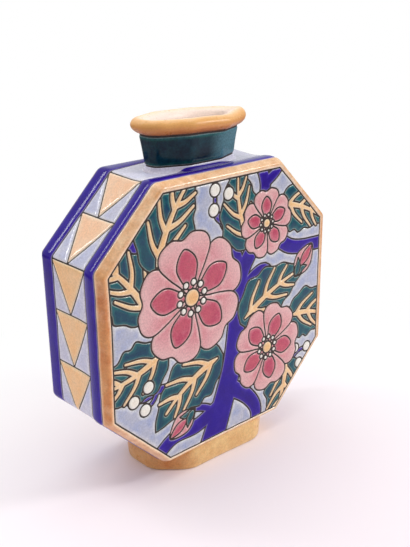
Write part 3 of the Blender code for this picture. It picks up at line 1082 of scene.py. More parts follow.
# %% Draw a soft plan
def soft_plan(length, width, side, end, corner, spacing=0.7):
    """Skeleton points and outward directions of a long octagon with round corners."""
    core = [(side / 2, width / 2 - corner), (length / 2 - corner, end / 2)]
    slope = math.atan2(core[0][1] - core[1][1], core[1][0] - core[0][0])
    tilt = math.pi / 2 - slope
    knots = []
    for (sx, sy), order in (((1, 1), 1), ((-1, 1), -1), ((-1, -1), 1), ((1, -1), -1)):
        turns = [(core[1], 0.0), (core[1], tilt), (core[0], tilt), (core[0], math.pi / 2)][::order]
        for (x, y), angle in turns:
            knots.append((sx * x, sy * y, math.atan2(sy * math.sin(angle), sx * math.cos(angle))))
    knots.append(knots[0])
    knots = np.array(knots)
    knots[:, 2] = np.unwrap(knots[:, 2])
    gap = np.hypot(*np.diff(knots[:, :2], axis=0).T) + corner * np.abs(np.diff(knots[:, 2]))
    walk = np.concatenate([[0.0], np.cumsum(gap)])
    at = np.linspace(0, walk[-1], int(walk[-1] / spacing), endpoint=False)
    x, y, angle = (np.interp(at, walk, knots[:, k]) for k in range(3))
    return np.column_stack([x, y]), np.column_stack([np.cos(angle), np.sin(angle)]), corner


def plan_points(plan, grow, z):
    """A ring of the plan at a growth and a height; both may change along the ring."""
    core, out, corner = plan
    flat = core + out * np.reshape(corner + grow + np.zeros(len(core)), (-1, 1))
    return np.column_stack([flat, np.zeros(len(core)) + z])


NECK_PLAN = soft_plan(NECK_LENGTH, NECK_WIDTH, NECK_SIDE, NECK_END, NECK_CORNER)
NECK_START = sleeve_low[2] - CAD_GAP / 2
LIP_BASE = box_mm("lip_roll")[0][2]
print(f"neck from {NECK_START:.1f} to {LIP_BASE:.1f} mm")

# %% Sweep a soft ring
def eased(ring, reach):
    """A ring with its corners eased, each point averaged with its neighbours."""
    return np.mean([np.roll(ring, step, axis=0) for step in range(-reach, reach + 1)], axis=0)


def soft_ring(name, plan, section, material, slot, nodes, depth=None, tone=None, easing=None):
    """A closed ring through a closed section of (growth, height) pairs, some with eased corners."""
    rows = [plan_points(plan, grow, z) for grow, z in section]
    if easing is not None:
        rows = [eased(row, int(reach)) for row, reach in zip(rows, easing)]
    points = np.stack(rows, axis=1).reshape(-1, 3)
    count = len(rows[0])
    numbers = []
    for values in (depth, tone):
        if values is not None:
            values = np.stack([np.zeros(count) + value for value in values], axis=1).reshape(-1)
        numbers.append(values)
    make_piece(name, points, ring_faces(count, len(rows)), material, slot, nodes, *numbers)


print(f"a ring round the neck has {len(NECK_PLAN[0])} stations")

# %% [markdown]
# ## Top and underside of the belt
# The plain lavender fields on the top and underside go round the neck and the foot. Each is
# painted darker towards its far end, the right end on the top: painted shade. They are cut like the
# rest: an outline lies above the field and takes its share away. It keeps a little inside the neck
# and the foot, so that these cover the field's own border. In front of the neck it keeps outside
# instead, because the climbing blue lies there.

# %% Lay the plain fields
ROOT_INSET = 0.6
ROOT_CLIMB = 2.2
ROOT_SPAN = (-18.0, 17.0, 0.9, 0.5)
FOOT_SIDE = 46.0
FOOT_END = 11.0
FOOT_CORNER = 16.0
FOOT_FLARE = 5.2
foot_low, foot_high = box_mm("foot_ring")
FOOT_PLAN = soft_plan(2 * foot_high[0], 2 * foot_high[1], FOOT_SIDE, FOOT_END, FOOT_CORNER)

neck_x = NECK_PLAN[0][:, 0] + NECK_PLAN[1][:, 0] * NECK_CORNER
climb_zone = between(neck_x, *ROOT_SPAN) * (NECK_PLAN[1][:, 1] < 0)
neck_root = plan_points(NECK_PLAN, ROOT_CLIMB * climb_zone - ROOT_INSET, 0.0)[::3, :2]
foot_top = plan_points(FOOT_PLAN, -FOOT_FLARE, 0.0)[::3, :2]
for place, middle, hole in (("top", 0.0, neck_root), ("under", ROUND / 2, foot_top * (-1, 1))):
    half = CORNERS[0]
    shape = np.array([(-half, -FACE), (half, -FACE), (half, FACE), (-half, FACE)]) + (middle, 0.0)
    pile = [
        (None, [hole + (middle, 0.0)], (middle, 0.0), (middle, 1.0)),
        ("top_lavender", [shape], (middle - half, 0.0), (middle + half, 0.0)),
    ]
    length_line = np.arange(middle - half - GRID_MARGIN, middle + half + GRID_MARGIN, GRID)
    limit = belt_limit(middle - half - 1, middle + half + 1)
    fields = raise_fields(pile, limit, length_line, depth_line, on_wall)
    fields_to_pieces(fields, {"top_lavender": place + "_lavender_field"}, "lavender_enamel", WALLS)

# %% [markdown]
# ## Neck
# The neck is a sleeve of dark teal over the clay collar. The glass ran while it melted: it is thin
# and green under the lip, and pools almost to navy lower down. Towards its right end it turns to the
# paler blue as well, as a painted reflection. A small lavender fillet closes the joint with the body,
# and in front the blue of the band climbs over part of it.

# %% Make the neck's enamels
NECK_TEAL = enamel("neck_teal_enamel", (0.014, 0.110, 0.095), (0.002, 0.017, 0.036), (0.005, 0.042, 0.062),
                   tip=(0.090, 0.220, 0.275), tip_start=0.84, drift_scale=150, grain=0.25, shine=0.16)
CLIMB_BLUE = (0.030, 0.010, 0.34)
CLIMB_RANGE = (0.42, 0.58)


def fillet_material():
    """Lavender, with cobalt where the number tone says that the blue band climbs the fillet."""
    material = enamel("fillet_enamel", (0.80, 0.77, 0.88), (0.66, 0.64, 0.77), (0.64, 0.58, 0.68),
                      gloss=0.2, shine=0.15)
    tree = material.node_tree
    shader = tree.nodes["Principled BSDF"]
    colour = shader.inputs["Base Color"].links[0].from_socket
    share = spread(tree, attribute(tree, "tone"), 0.0, 1.0, *CLIMB_RANGE)
    tree.links.new(mixed(tree, share, colour, CLIMB_BLUE), shader.inputs["Base Color"])
    return material


print("neck's enamels ready")

# %% Sweep the sleeve
SLEEVE_ROWS = 26
SLEEVE_BACK_ROWS = 9
SLEEVE_POOL = 2.8
SLEEVE_TONE = 0.80
SLEEVE_TOP_TONE = 0.93
SLEEVE_WOBBLE = ((0.12, 3, 0.6), (0.08, 7, 0.0))
# Where the painted reflection on the neck's right end begins, and how soft its start is.
SHEEN_PLACE = 6.0
SHEEN_REACH = 3.6
FLARE_SWEEP = 0.2
DROOP = 1.1
DROOP_PLACE = 5.0
DROOP_REACH = 5.0
DROOP_ROUND = 1.5
FRONT_SLOPE = 5.0
LIP_LINE = 0.35
neck_angle = np.arctan2(NECK_PLAN[1][:, 1], NECK_PLAN[1][:, 0])


def flare(share):
    """The neck's outward sweep, gentle at the root and fuller under the lip."""
    return NECK_FLARE * ((1 - FLARE_SWEEP) * share + FLARE_SWEEP * share ** 3)


def neck_height(share):
    """The height at a share of the neck, from its root to the lip."""
    return NECK_START + (LIP_BASE - NECK_START) * share


def uneven(angle, waves):
    """Hand-made unevenness round a ring; each wave has a height, a number of waves and a phase."""
    return sum(height * np.sin(number * angle + phase) for height, number, phase in waves)


droop = DROOP * ease((neck_x - DROOP_PLACE) / DROOP_REACH)
droop = droop * ease(-FRONT_SLOPE * NECK_PLAN[1][:, 1] + DROOP_ROUND)


def sleeve():
    """The teal glass between the lines at the root and under the drooping lip."""
    tall = LIP_BASE - NECK_START
    low = LINE / 2 / tall
    high = 1 - (LINE / 2 + LIP_LINE + droop) / tall
    # Paler blue towards the neck's right end: a painted reflection.
    right_sheen = SLEEVE_TONE + (1 - SLEEVE_TONE) * ease((neck_x - SHEEN_PLACE) / SHEEN_REACH)
    wobble = uneven(neck_angle, SLEEVE_WOBBLE)
    section, depth, tone = [], [], []
    for share in np.linspace(0, 1, SLEEVE_ROWS):
        s = low + (high - low) * share
        inside = np.minimum(s - low, high - s) * tall
        wave = wobble * math.sin(math.pi * share)
        section.append((flare(s) - RAISE + pillow(inside) + wave, neck_height(s)))
        depth.append(np.clip(inside / SLEEVE_POOL, 0, 1))
        tone.append(np.maximum(SLEEVE_TOP_TONE * share, right_sheen))
    for share in np.linspace(1, 0, SLEEVE_BACK_ROWS):
        s = low + (high - low) * share
        section.append((flare(s) - RAISE + SUNK, neck_height(s)))
        depth.append(0.0)
        tone.append(share)
    soft_ring("neck_teal_sleeve", NECK_PLAN, section, NECK_TEAL, "teal_enamel", ("neck_enamel",),
              depth, tone)


sleeve()

# %% Sweep the collar
INNER_WALL = 5.1
INNER_EASING = 12
LINE_SKIN = 1.2
CREAM_SKIN = 1.3
LINE_ROWS = 15
WALL_ROWS = 14
IN_BODY = -0.2
IN_LIP = 1.06


def collar():
    """Dark line outside, cream glaze inside: two rings, back to back in the clay."""
    up = np.linspace(IN_BODY, IN_LIP, LINE_ROWS)
    down = np.linspace(IN_LIP, IN_BODY, LINE_ROWS)
    outer = [(flare(s) - RAISE, neck_height(s)) for s in up]
    inner = [(flare(s) - RAISE - LINE_SKIN, neck_height(s)) for s in down]
    soft_ring("neck_line_ground", NECK_PLAN, outer + inner, LINE_BROWN, "cream_glazed_clay",
              ("neck_collar",))
    up = np.linspace(IN_BODY, 1, WALL_ROWS)
    down = np.linspace(1, IN_BODY, WALL_ROWS)
    outer = [(flare(max(s, 0)) - RAISE - CREAM_SKIN, neck_height(s)) for s in up]
    inner = [(flare(max(s, 0)) - INNER_WALL, neck_height(s)) for s in down]
    soft_ring("neck_inner_wall", NECK_PLAN, outer + inner, CREAM_GLAZE, "cream_glazed_clay",
              ("neck_collar",), easing=[0] * WALL_ROWS + [INNER_EASING] * WALL_ROWS)


collar()

# %% Sweep the fillet
FILLET_ROWS = 18
FILLET_FOOT = 0.3
FILLET_REACH = (1.3, 2.2)
FILLET_BACK = -0.9
FILLET_HOLLOW = 2.6
FILLET_THIN = 0.3
LAP_START = 0.8
LAP = 0.25
FILLET_CLIMB = 0.72
FILLET_PEAK = 0.08
CLIMB_EDGE = 3.0


def fillet():
    """A hollow curve from the flat top up to the neck, wider at the neck's ends."""
    high = NECK_START - LINE / 2 - TOP + FILLET_FOOT
    reach = FILLET_REACH[0] + FILLET_REACH[1] * NECK_PLAN[1][:, 0] ** 2
    climb = climb_zone * (FILLET_CLIMB + FILLET_PEAK * climb_peak(neck_x))
    section, depth, tone = [], [], []
    for share in np.linspace(0, 1, FILLET_ROWS):
        lap = LAP * max(0.0, (share - LAP_START) / (1 - LAP_START)) ** 2
        section.append((reach * (1 - share) ** FILLET_HOLLOW - lap, TOP - FILLET_FOOT + high * share))
        depth.append(FILLET_THIN + (1 - FILLET_THIN) * math.sin(math.pi * share))
        tone.append(0.5 + (climb - share) * CLIMB_EDGE)
    for share in (1.0, 0.5, 0.0):
        section.append((FILLET_BACK, TOP - FILLET_FOOT + high * share))
        depth.append(0.0)
        tone.append(0.0)
    soft_ring("neck_root_fillet", NECK_PLAN, section, fillet_material(), "lavender_enamel",
              ("neck_fillet",), depth, tone)


fillet()

# %% [markdown]
# ## Lip
# The lip is a fat rolled bead round a funnel. Its enamel is deep ochre on the outer face, where it
# hung and pooled to brown above the line, light on the crown, and a pale pinkish cream inside, where
# it ran thin over the clay. The brown low on the face is partly painted shade, and the light crown
# and pale inside partly a painted highlight. The section is a smooth loop through a few points, and
# the number tone runs along it from the line to the inside, so a ramp of six colours paints it.

# %% Draw the lip's section
LIP_LOOP = (
    (2.6, 0.45), (4.9, 1.5), (6.9, 3.4), (7.6, 5.4), (7.0, 7.4), (5.4, 8.9), (3.4, 9.4), (1.3, 9.0),
    (-0.8, 7.8), (-2.1, 5.4), (-2.7, 2.0), (-2.7, -2.0), (-0.6, -1.6), (1.2, -0.4),
)
LIP_STEPS = 5


def curve_through(points, closed=False, steps=8):
    """A smooth curve through a few points."""
    p = np.array(points, float)
    if closed:
        p = np.vstack([p[-1:], p, p[:2]])
    else:
        p = np.vstack([2 * p[:1] - p[1:2], p, 2 * p[-1:] - p[-2:-1]])
    t = np.linspace(0, 1, steps, endpoint=False)[:, None]
    runs = []
    for a, b, c, d in zip(p, p[1:], p[2:], p[3:]):
        runs.append(b + 0.5 * t * (c - a + t * (2 * a - 5 * b + 4 * c - d + t * (3 * (b - c) + d - a))))
    if not closed:
        runs.append(p[-2:-1])
    return np.vstack(runs)


lip_section = curve_through(LIP_LOOP, closed=True, steps=LIP_STEPS)
print(f"the lip's section has {len(lip_section)} points")

# %% Mix the lip's enamel
# Colours from the line to the inside; the dark start is partly painted shade, the pale end partly a painted
# highlight.
LIP_COLOURS_AND_SHADE = (
    (0.00, (0.46, 0.14, 0.060)), (0.20, (0.68, 0.275, 0.085)), (0.42, (0.82, 0.42, 0.135)),
    (0.55, (0.93, 0.56, 0.29)), (0.66, (0.95, 0.69, 0.49)), (0.80, (0.95, 0.78, 0.69)),
)
LIP_WANDER = 0.035
RAMP_SCALE = 120


def ramped(name, stops, wander, **settings):
    """An enamel whose colour follows the number tone through a ramp, shifted a little by noise."""
    material = enamel(name, stops[0][1], stops[1][1], stops[1][1], **settings)
    tree = material.node_tree
    shade = tree.nodes["Principled BSDF"].inputs["Base Color"].links[0].from_node
    drift = spread(tree, noise(tree, RAMP_SCALE, 4.0), -wander, wander)
    ramp = add_node(tree, "ShaderNodeValToRGB", Fac=math_node(tree, "ADD", attribute(tree, "tone"), drift))
    while len(ramp.color_ramp.elements) < len(stops):
        ramp.color_ramp.elements.new(0.5)
    for element, (place, colour) in zip(ramp.color_ramp.elements, stops):
        element.position = place
        element.color = (*colour, 1.0)
    tree.links.new(ramp.outputs["Color"], shade.inputs[6])
    return material


LIP_ENAMEL = ramped("lip_ochre_enamel", LIP_COLOURS_AND_SHADE, LIP_WANDER, gloss=0.32, grain=0.05, shine=0.34)
print(f"lip's enamel runs through {len(LIP_COLOURS_AND_SHADE)} colours")

# %% Roll the lip
LIP_WOBBLE = ((0.15, 2, 1.1), (0.10, 5, 0.3))
WOBBLE_FULL = 6
LIP_INSIDE = (10.0, 11.5)
LIP_SWELL = 0.20
LIP_SWELL_PLACE = 26.0
LIP_SWELL_REACH = 3.0
LIP_SINK = 0.07
LIP_SINK_REACH = 8.0
EASED_SPAN = (6, 12.5)
EASED_FROM = 3.4
EASED_REACH = 5.0


def lip():
    """The rolled bead, a little uneven, taller at its front right end and drooping there."""
    wobble = uneven(neck_angle, LIP_WOBBLE)
    span = np.linspace(0, len(LIP_LOOP), len(lip_section), endpoint=False)
    tone = np.interp(span, (0, *LIP_INSIDE, len(LIP_LOOP)), (0.0, 1.0, 1.0, 0.0))
    near = ease(-FRONT_SLOPE * NECK_PLAN[1][:, 1])
    tall = 1 + LIP_SWELL * near * ease((neck_x - LIP_SWELL_PLACE) / LIP_SWELL_REACH)
    tall = tall - LIP_SINK * (1 - near) * ease(neck_x / LIP_SINK_REACH)
    section = []
    for grow, z in lip_section:
        section.append((grow + wobble * np.clip(z / WOBBLE_FULL, 0, 1), LIP_BASE + z * tall - droop))
    inner = (span > EASED_SPAN[0]) * (span < EASED_SPAN[1])
    easing = INNER_EASING * soft_step((EASED_FROM - lip_section[:, 0]) / EASED_REACH) * inner
    soft_ring("lip_bead", NECK_PLAN, section, LIP_ENAMEL, "lip_ochre_enamel", ("lip_roll",),
              np.ones(len(lip_section)), tone, np.round(easing))


lip()

# %% [markdown]
# ## Foot
# The foot is a hollow ring under the body, like a low cushion with soft corners, in a golden ochre
# glaze with brown-orange mottling. Its left end is painted a deeper brown: painted shade. It tucks in
# under the body and rounds off towards the table. It is a little less glossy than the enamels, and
# the glaze is wiped off the rim it stands on, where the bare clay shows. Inside the ring the
# underside of the body is glazed too.

# %% Sweep the foot
FOOT_WALL = 5.5
FOOT_OUTSIDE = (
    (-0.9, 0.35), (-0.35, 1.3), (-0.05, 3.2), (0.1, 6.0), (0.05, 8.6), (-0.35, 10.6), (-1.5, 11.9),
    (-3.2, 12.7), (-5.2, 13.5),
)
FOOT_GLAZE = enamel("foot_gold_ochre_glaze", (0.90, 0.63, 0.29), (0.60, 0.21, 0.065), (0.70, 0.32, 0.11),
                    tip=(0.78, 0.66, 0.50), tip_start=0.9, gloss=0.30, drift_scale=240, grain=0.10,
                    shine=0.25, clouds=0.12)
SHOULDER_AT = 8.6
SHOULDER_FILL = 0.62
FOOT_FILL = 1.4
FOOT_WOBBLE = ((0.18, 2, 0.4), (0.12, 5, 2.0))
FOOT_BULGE = 1.6
BULGE_PLACE = 8.0
BULGE_REACH = 8.0
BULGE_FRONT = 4.0
FOOT_STEPS = 4
LOW_POOL = 0.6
POOL_HEIGHT = 8.0
INSIDE_POOL = 0.2
BROWN_LEAST = 0.26
# A deeper brown round the foot's left end: painted shade.
LEFT_END_SHADE = 0.64
LEFT_SHADE_PLACE = -40.5
LEFT_SHADE_REACH = 10.5


def foot():
    """A hollow cushion; in front and behind, its shoulder fills up to the body's bevel."""
    core, out, corner = FOOT_PLAN
    top = FOOT_OUTSIDE[-1][1]
    foot_x = core[:, 0] + out[:, 0] * corner
    foot_angle = np.arctan2(out[:, 1], out[:, 0])
    wobble = uneven(foot_angle, FOOT_WOBBLE)
    bulge = FOOT_BULGE * ease((foot_x - BULGE_PLACE) / BULGE_REACH) * ease(-BULGE_FRONT * out[:, 1])
    full = out[:, 1] ** 4
    # Depth of the glaze, with painted shade added round the left end.
    foot_depth_and_shade = BROWN_LEAST + LEFT_END_SHADE * np.exp(-((foot_x - LEFT_SHADE_PLACE) / LEFT_SHADE_REACH) ** 2)
    section, depth, tone = [], [], []
    for grow, z in curve_through(FOOT_OUTSIDE, steps=FOOT_STEPS):
        up = max(0.0, (z - SHOULDER_AT) / (top - SHOULDER_AT))
        grow = grow * (1 - SHOULDER_FILL * full * (up > 0)) + bulge + wobble * math.sin(math.pi * z / top)
        section.append((grow, foot_low[2] + z + FOOT_FILL * full * up))
        depth.append(foot_depth_and_shade * min(1.0, LOW_POOL + z / POOL_HEIGHT))
        tone.append(0.0)
    inner = -FOOT_FLARE - FOOT_WALL
    inside = (
        (inner, top, 0.0), (inner, top / 2, 0.0), (inner, 1.0, 0.6), (inner + 0.8, 0.0, 1.0),
        (-4.0, 0.0, 1.0), (-2.2, 0.0, 1.0), (-1.4, 0.08, 0.95),
    )
    for grow, z, bare in inside:
        section.append((grow, foot_low[2] + z))
        depth.append(INSIDE_POOL)
        tone.append(bare)
    soft_ring("foot_cushion", FOOT_PLAN, section, FOOT_GLAZE, "foot_gold_ochre_glaze", ("foot_ring",),
              depth, tone)


foot()

# %% Glaze the base inside the foot
BASE_HOLLOW = ((-10.1, 0.2), (-10.1, -0.9), (-11.5, -0.6), (-13.5, -0.2), (-15.8, 0.0))


def foot_base():
    """The glazed underside of the body inside the ring, a little hollow."""
    loops = [plan_points(FOOT_PLAN, grow, BASE + z) for grow, z in BASE_HOLLOW]
    count = len(loops[0])
    faces = [tuple(range(count))]
    for row in range(len(loops) - 1):
        for i in range(count):
            here, on = row * count + i, row * count + (i + 1) % count
            faces.append((here, here + count, on + count, on))
    faces.append(tuple(range((len(loops) - 1) * count, len(loops) * count))[::-1])
    make_piece("foot_base_glaze", np.concatenate(loops), faces, CREAM_GLAZE, "cream_glazed_clay",
               ("foot_ring",))


foot_base()

# %% [markdown]
# ## Motifs of the picture
# The face carries a spray of garden flowers in the manner of old enamel work: five-petalled
# blossoms, buds, berries and veined leaves on a cobalt branch. Each motif is an outline drawn from
# a few points or a formula: a ribbon along a curve, a leaf swelling along its rib, a petal
# mirrored about its axis. A list of placed motifs then makes the picture.

# %% Curves and ribbons
NARROW_RUN = 0.16
CAP_STEPS = 7


def left_of(line):
    """Unit directions to the left of a line of points."""
    run = np.gradient(line, axis=0)
    run /= np.linalg.norm(run, axis=1)[:, None]
    return np.column_stack([-run[:, 1], run[:, 0]])


def ribbon(points, first, last, steps=8, start=1.0):
    """A band along a curve, from one width to another, with a round end; start narrows its beginning."""
    line = curve_through(points, steps=steps)
    share = np.linspace(0, 1, len(line))[:, None]
    width = (first + (last - first) * share) * np.minimum(start + (1 - start) * share / NARROW_RUN, 1)
    left = left_of(line) * width / 2
    turn = np.linspace(0, np.pi, CAP_STEPS)[1:-1, None]
    ahead = np.array([[left[-1][1], -left[-1][0]]])
    cap = line[-1] + np.cos(turn) * left[-1] + np.sin(turn) * ahead
    return np.vstack([line + left, cap, (line - left)[::-1]])


print("a ribbon through three points has", len(ribbon(((0, 0), (5, 2), (10, 0)), 2, 1)), "points")

# %% Leaves
VEIN_PLACES = (0.18, 0.40, 0.62)
VEIN_WIDTHS = (0.112, 0.066)
VEIN_AHEAD = 0.08
VEIN_MIDDLE = (0.36, 0.34)
VEIN_END = (0.68, 0.90)
RIB_WIDTHS = (0.150, 0.070)
RIB_END = 0.87
SCALLOPS = 4.5
SCALLOP = 0.07
BELLY = 0.72
FULLNESS = 0.85
TAPER = (1.08, 0.22)


def midrib(base, tip, bend, count=33):
    """A bent line from the base of a leaf to its tip."""
    t = np.linspace(0, 1, count)[:, None]
    across = np.array([base[1] - tip[1], tip[0] - base[0]])
    middle = (base + tip) / 2 + across * bend
    return (1 - t) ** 2 * base + 2 * t * (1 - t) * middle + t ** 2 * tip


def leaf_half(share, width):
    """Half the width of a leaf at a share of its length."""
    return width / 2 * np.sin(np.pi * share ** BELLY) ** FULLNESS * (TAPER[0] - TAPER[1] * share)


def leaf(base, tip, bend, width):
    """Outline of a leaf with a softly scalloped edge."""
    line = midrib(base, tip, bend)
    share = np.linspace(0, 1, len(line))
    half = leaf_half(share, width) * (1 + SCALLOP * np.sin(2 * np.pi * SCALLOPS * share))
    left = left_of(line) * half[:, None]
    return np.vstack([line + left, (line - left)[-2:0:-1]])


def veins(base, tip, bend, width):
    """The rib of a leaf and its side veins, as ribbons."""
    line = midrib(base, tip, bend)
    left = left_of(line)
    rib = line[2:int(len(line) * RIB_END):4]
    parts = [ribbon(rib, width * RIB_WIDTHS[0], width * RIB_WIDTHS[1], 4, 0.3)]
    for place in VEIN_PLACES:
        reach = leaf_half(place + VEIN_AHEAD, width)
        for hand in (1, -1):
            i = int(place * (len(line) - 1)) + (hand < 0)
            ahead = np.array([left[i][1], -left[i][0]])
            middle, end = (
                line[i] + (out * hand * left[i] + on * ahead) * reach for out, on in (VEIN_MIDDLE, VEIN_END)
            )
            parts.append(ribbon((line[i], middle, end), width * VEIN_WIDTHS[0], width * VEIN_WIDTHS[1], 5))
    return parts


print("a leaf has", len(leaf(np.zeros(2), np.array((40.0, 0.0)), 0.1, 20)), "points")

# %% Petals and discs
PETAL = ((0.05, 0.05), (0.25, 0.19), (0.46, 0.36), (0.70, 0.50), (0.90, 0.44), (1.0, 0.20), (0.94, 0.0))
FLAME = ((0.16, 0.05), (0.34, 0.15), (0.52, 0.20), (0.68, 0.14), (0.79, 0.0))
BUD = ((0.0, 0.06), (0.3, 0.30), (0.62, 0.30), (1.0, 0.0))
BUD_HEART = ((0.3, 0.03), (0.5, 0.12), (0.72, 0.13), (0.98, 0.0))
PETAL_STEPS = 6


def petal(centre, angle, reach, half=PETAL):
    """A petal drawn from one half of its outline."""
    shape = np.array(half, float) * reach
    whole = curve_through(np.vstack([shape, shape[-2::-1] * (1, -1)]), closed=True, steps=PETAL_STEPS)
    c, s = math.cos(angle), math.sin(angle)
    return whole @ np.array([[c, s], [-s, c]]) + centre


def disc(centre, radius, count=26):
    """A round outline."""
    a = np.linspace(0, 2 * np.pi, count, endpoint=False)
    return np.column_stack([np.cos(a), np.sin(a)]) * radius + centre


print("a petal has", len(petal(np.zeros(2), 0.0, 30)), "points, a disc", len(disc(np.zeros(2), 4)))

# %% Blossoms, veined leaves and buds, each from the top down
PETALS = 5
EYE = 0.14
STAMEN = 0.056
STAMEN_POINTS = 14
STAMEN_RING = 0.245
SEPAL_SWING = 0.50
SEPAL_LENGTH = 0.50
SEPAL_BEND = 0.20
SEPAL_WIDTH = 0.22


def blossom(centre, reach, degrees):
    """Eye, ring of stamens, five inner flames and five petals."""
    centre = np.array(centre, float)
    turn = math.radians(degrees)
    motifs = [("vein", [disc(centre, EYE * reach)], centre, centre + (0, reach))]
    for k in range(2 * PETALS):
        angle = turn + math.pi * (k + 0.5) / PETALS
        spot = centre + STAMEN_RING * reach * np.array([math.cos(angle), math.sin(angle)])
        motifs.append(("cream", [disc(spot, STAMEN * reach, STAMEN_POINTS)], centre, spot))
    for colour, half in (("rose", FLAME), ("pink", PETAL)):
        for k in range(PETALS):
            angle = turn + 2 * math.pi * k / PETALS
            tip = centre + reach * np.array([math.cos(angle), math.sin(angle)])
            motifs.append((colour, [petal(centre, angle, reach, half)], centre, tip))
    return motifs


def veined_leaf(base, tip, bend, width):
    """The veins, and the leaf under them."""
    base, tip = np.array(base, float), np.array(tip, float)
    return [
        ("vein", veins(base, tip, bend, width), base, tip),
        ("teal", [leaf(base, tip, bend, width)], base, tip),
    ]


def bud(base, tip):
    """A closed flower held by two small sepals."""
    base, tip = np.array(base, float), np.array(tip, float)
    reach = float(np.hypot(*(tip - base)))
    angle = math.atan2(*(tip - base)[::-1])
    motifs = []
    for hand in (1, -1):
        swing = angle + hand * SEPAL_SWING
        end = base + SEPAL_LENGTH * reach * np.array([math.cos(swing), math.sin(swing)])
        motifs.append(("teal", [leaf(base, end, -SEPAL_BEND * hand, SEPAL_WIDTH * reach)], base, end))
    motifs.append(("rose", [petal(base, angle, reach, BUD_HEART)], base, tip))
    motifs.append(("pink", [petal(base, angle, reach, BUD)], base, tip))
    return motifs


print("a blossom is a pile of", len(blossom((0, 0), 30, 0)), "motifs")

# %% Berries, stalks and the branch
STALK_WIDTHS = (3.4, 2.6)
STALK_BEND = 0.12


def berries(spots, radius):
    """A cluster of round berries."""
    motifs = []
    for spot in np.array(spots, float):
        motifs.append(("cream", [disc(spot, radius)], spot - (0, radius), spot + (0, radius)))
    return motifs


def stalks(root, spots):
    """A thin stalk to each berry of a cluster, as stems of the branch."""
    root = np.array(root, float)
    stems = []
    for spot in np.array(spots, float):
        bend = (root + spot) / 2 + STALK_BEND * np.array([root[1] - spot[1], spot[0] - root[0]])
        stems.append(((root, bend, spot), *STALK_WIDTHS))
    return stems


def branch(*stems):
    """All the stems of a picture as one field, so that they flow into each other."""
    ribbons = [ribbon(points, first, last) for points, first, last in stems]
    return [("cobalt", ribbons, np.zeros(2), np.ones(2))]


print("motifs ready")

# %% [markdown]
# ## Front picture
# Places are in millimetres from the middle of the face, to the right and up. The list runs from
# the top of the pile to the bottom: blossoms, buds and berries, then leaves, then the branch, and
# the lavender ground last.

# %% Compose the front
TOP_BERRIES = ((-9, 67), (3, 75), (-8, 79))
LOW_BERRIES = ((-62, -30), (-73, -36), (-65, -44))
RIGHT_BERRIES = ((70, -58), (78, -48), (66, -46))
front = []
front += blossom((-27, 17), 40, 100)
front += blossom((38, -36), 30, 62)
front += blossom((36, 50), 22, 20)
front += bud((64, 8), (80, 27))
front += bud((-27, -58), (-47, -71))
front += berries(TOP_BERRIES, 4.2)
front += berries(LOW_BERRIES, 4.2)
front += berries(RIGHT_BERRIES, 3.8)
front += veined_leaf((13, -12), (74, 12), 0.12, 38)
front += veined_leaf((-2, -28), (-58, -62), -0.18, 40)
front += veined_leaf((-54, 38), (-22, 94), 0.14, 42)
front += veined_leaf((-58, 12), (-100, 60), -0.14, 40)
front += veined_leaf((-48, -10), (-104, -22), 0.16, 38)
front += veined_leaf((58, -50), (44, -98), 0.10, 38)
front += veined_leaf((58, -20), (104, -34), 0.18, 36)
front += veined_leaf((48, 60), (94, 40), 0.14, 34)
front += veined_leaf((22, 38), (12, 94), 0.18, 34)
front += branch(
    (((-16, -96), (-3, -64), (6, -36), (10, -6), (14, 22), (32, 46)), 21, 11),
    (((2, -52), (20, -66), (28, -80), (24, -98)), 12, 9),
    (((-4, -62), (-24, -70), (-46, -72), (-70, -90)), 12, 9),
    (((-6, -68), (-18, -60), (-27, -57)), 6, 5),
    (((6, -34), (20, -46), (36, -40)), 12, 9),
    (((-34, -44), (-48, -36), (-56, -34)), 8, 5),
    (((12, 10), (34, 20), (50, 0), (66, 10)), 10, 6),
    (((14, 24), (6, 46), (-2, 58)), 8, 5),
    (((44, -50), (56, -60), (62, -52)), 7, 5),
    (((-30, 30), (-62, 36), (-76, 70)), 12, 9),
    (((36, 50), (58, 30), (96, 26)), 11, 9),
    (((-58, 30), (-46, 62), (-54, 92)), 9, 7),
    (((30, 56), (34, 76), (26, 96)), 10, 8),
    (((34, 76), (46, 84), (52, 98)), 8, 6),
    *stalks((-2, 58), TOP_BERRIES),
    *stalks((-55, -34), LOW_BERRIES),
    *stalks((61, -54), RIGHT_BERRIES),
)
print("front motifs:", len(front))

# %% [markdown]
# ## Back picture
# The back can't be seen in the photograph. Such flasks carry a second picture there, so the back
# gets a calmer, nearly mirrored spray of the same flowers.

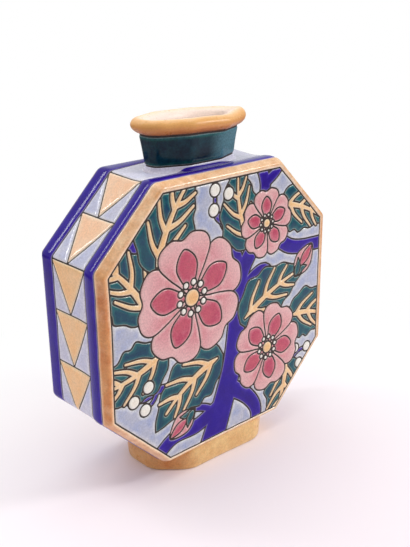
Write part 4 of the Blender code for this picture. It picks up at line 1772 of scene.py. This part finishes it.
# %% Compose the back
MID_BERRIES = ((-9, -67), (9, -70), (0, -78))
SIDE_BERRIES = ((72, 2), (80, -8), (81, 8))
back = []
back += blossom((4, 20), 37, 90)
back += blossom((-46, -34), 27, 30)
back += blossom((48, -40), 24, 75)
back += bud((40, 50), (55, 68))
back += bud((-46, 48), (-61, 66))
back += berries(MID_BERRIES, 4.2)
stems = [(((30, -98), (8, -66), (5, -36), (2, 10)), 20, 12), *stalks((4, -52), MID_BERRIES)]
for hand in (1, -1):
    spots = np.array(SIDE_BERRIES) * (hand, 1)
    back += berries(spots, 3.9)
    back += veined_leaf((hand * 8, -14), (hand * 64, -4 - 4 * hand), -0.14 * hand, 36)
    back += veined_leaf((hand * 32, 34), (hand * 102, 40), 0.10 * hand, 40)
    back += veined_leaf((hand * 20, 50), (hand * 42, 100), -0.16 * hand, 38)
    back += veined_leaf((hand * 12, -38), (hand * 36, -98), 0.14 * hand, 38)
    back += veined_leaf((hand * 62, -38), (hand * 102, -14), -0.12 * hand, 36)
    back += veined_leaf((hand * 50, -56), (hand * 88, -70), 0.10 * hand, 32)
    stems.append((((hand * 2, -52), (hand * 22, -36), (hand * 46, -38)), 12, 9))
    stems.append((((hand * 4, -22), (hand * 38, 14), (hand * 66, 4)), 10, 5))
    stems.append((((hand * 20, 24), (hand * 38, 36), (hand * 42, 52)), 10, 6))
    stems.append((((hand * 30, 36), (hand * 62, 22), (hand * 98, 22)), 9, 7))
    stems.append((((hand * 44, 40), (hand * 66, 56), (hand * 74, 80)), 9, 7))
    stems += stalks((hand * 64, 4), spots)
back += branch(*stems)
print("back motifs:", len(back))

# %% [markdown]
# Each pile is bounded by the wavering inner line of the ochre frame and raised field by field.
# Every colour of a picture becomes one piece.

# %% Raise both pictures
FIELD_NAMES = {
    "vein": "ochre_veins", "cream": "cream_berries", "rose": "rose_hearts", "pink": "pink_petals",
    "teal": "teal_leaves", "cobalt": "cobalt_branch", "mauve": "mauve_ground",
}
PICTURE_LINE = 1.05
GROUND_FOOT = np.array((0.0, -90.0))
GROUND_HEAD = np.array((0.0, 90.0))
GROUND_SPARE = 1.05
u_line = np.arange(-HALF_WIDTH + RIM - GRID_MARGIN, HALF_WIDTH - RIM + GRID_MARGIN, GRID)
v_line = np.arange(-HALF_HEIGHT + RIM - GRID_MARGIN, HALF_HEIGHT - RIM + GRID_MARGIN, GRID)
for place, side, motifs in (("front", -1, front), ("back", 1, back)):
    line = edge_points(lengths, frame_line(side), RAISE, side)[::2]
    limit = np.column_stack([line[:, 0] * -side, line[:, 2] - MIDDLE])
    ground = [("mauve", [limit * GROUND_SPARE], GROUND_FOOT, GROUND_HEAD)]

    def on_face(u, v, rise, side=side):
        """Points of a field that is drawn flat, set on this side's face."""
        flat = np.broadcast_arrays(-side * u, side * (FACE - RAISE + rise), MIDDLE + v)
        return np.stack(flat, axis=-1)

    fields = raise_fields(motifs + ground, limit, u_line, v_line, on_face, PICTURE_LINE)
    names = {colour: f"{place}_{label}" for colour, label in FIELD_NAMES.items()}
    fields_to_pieces(fields, names, "picture_enamel", (place + "_picture",))

# %% [markdown]
# ## Clay body
# The two half shells stay as they are in the frame: their shape is right, and only their inside
# shows, through the mouth. They get the cream inner glaze.

# %% Glaze the half shells
for node in ("front_half_shell", "back_half_shell"):
    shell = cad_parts[node]
    shell.data.materials.clear()
    shell.data.materials.append(CREAM_GLAZE)
print("half shells glazed")
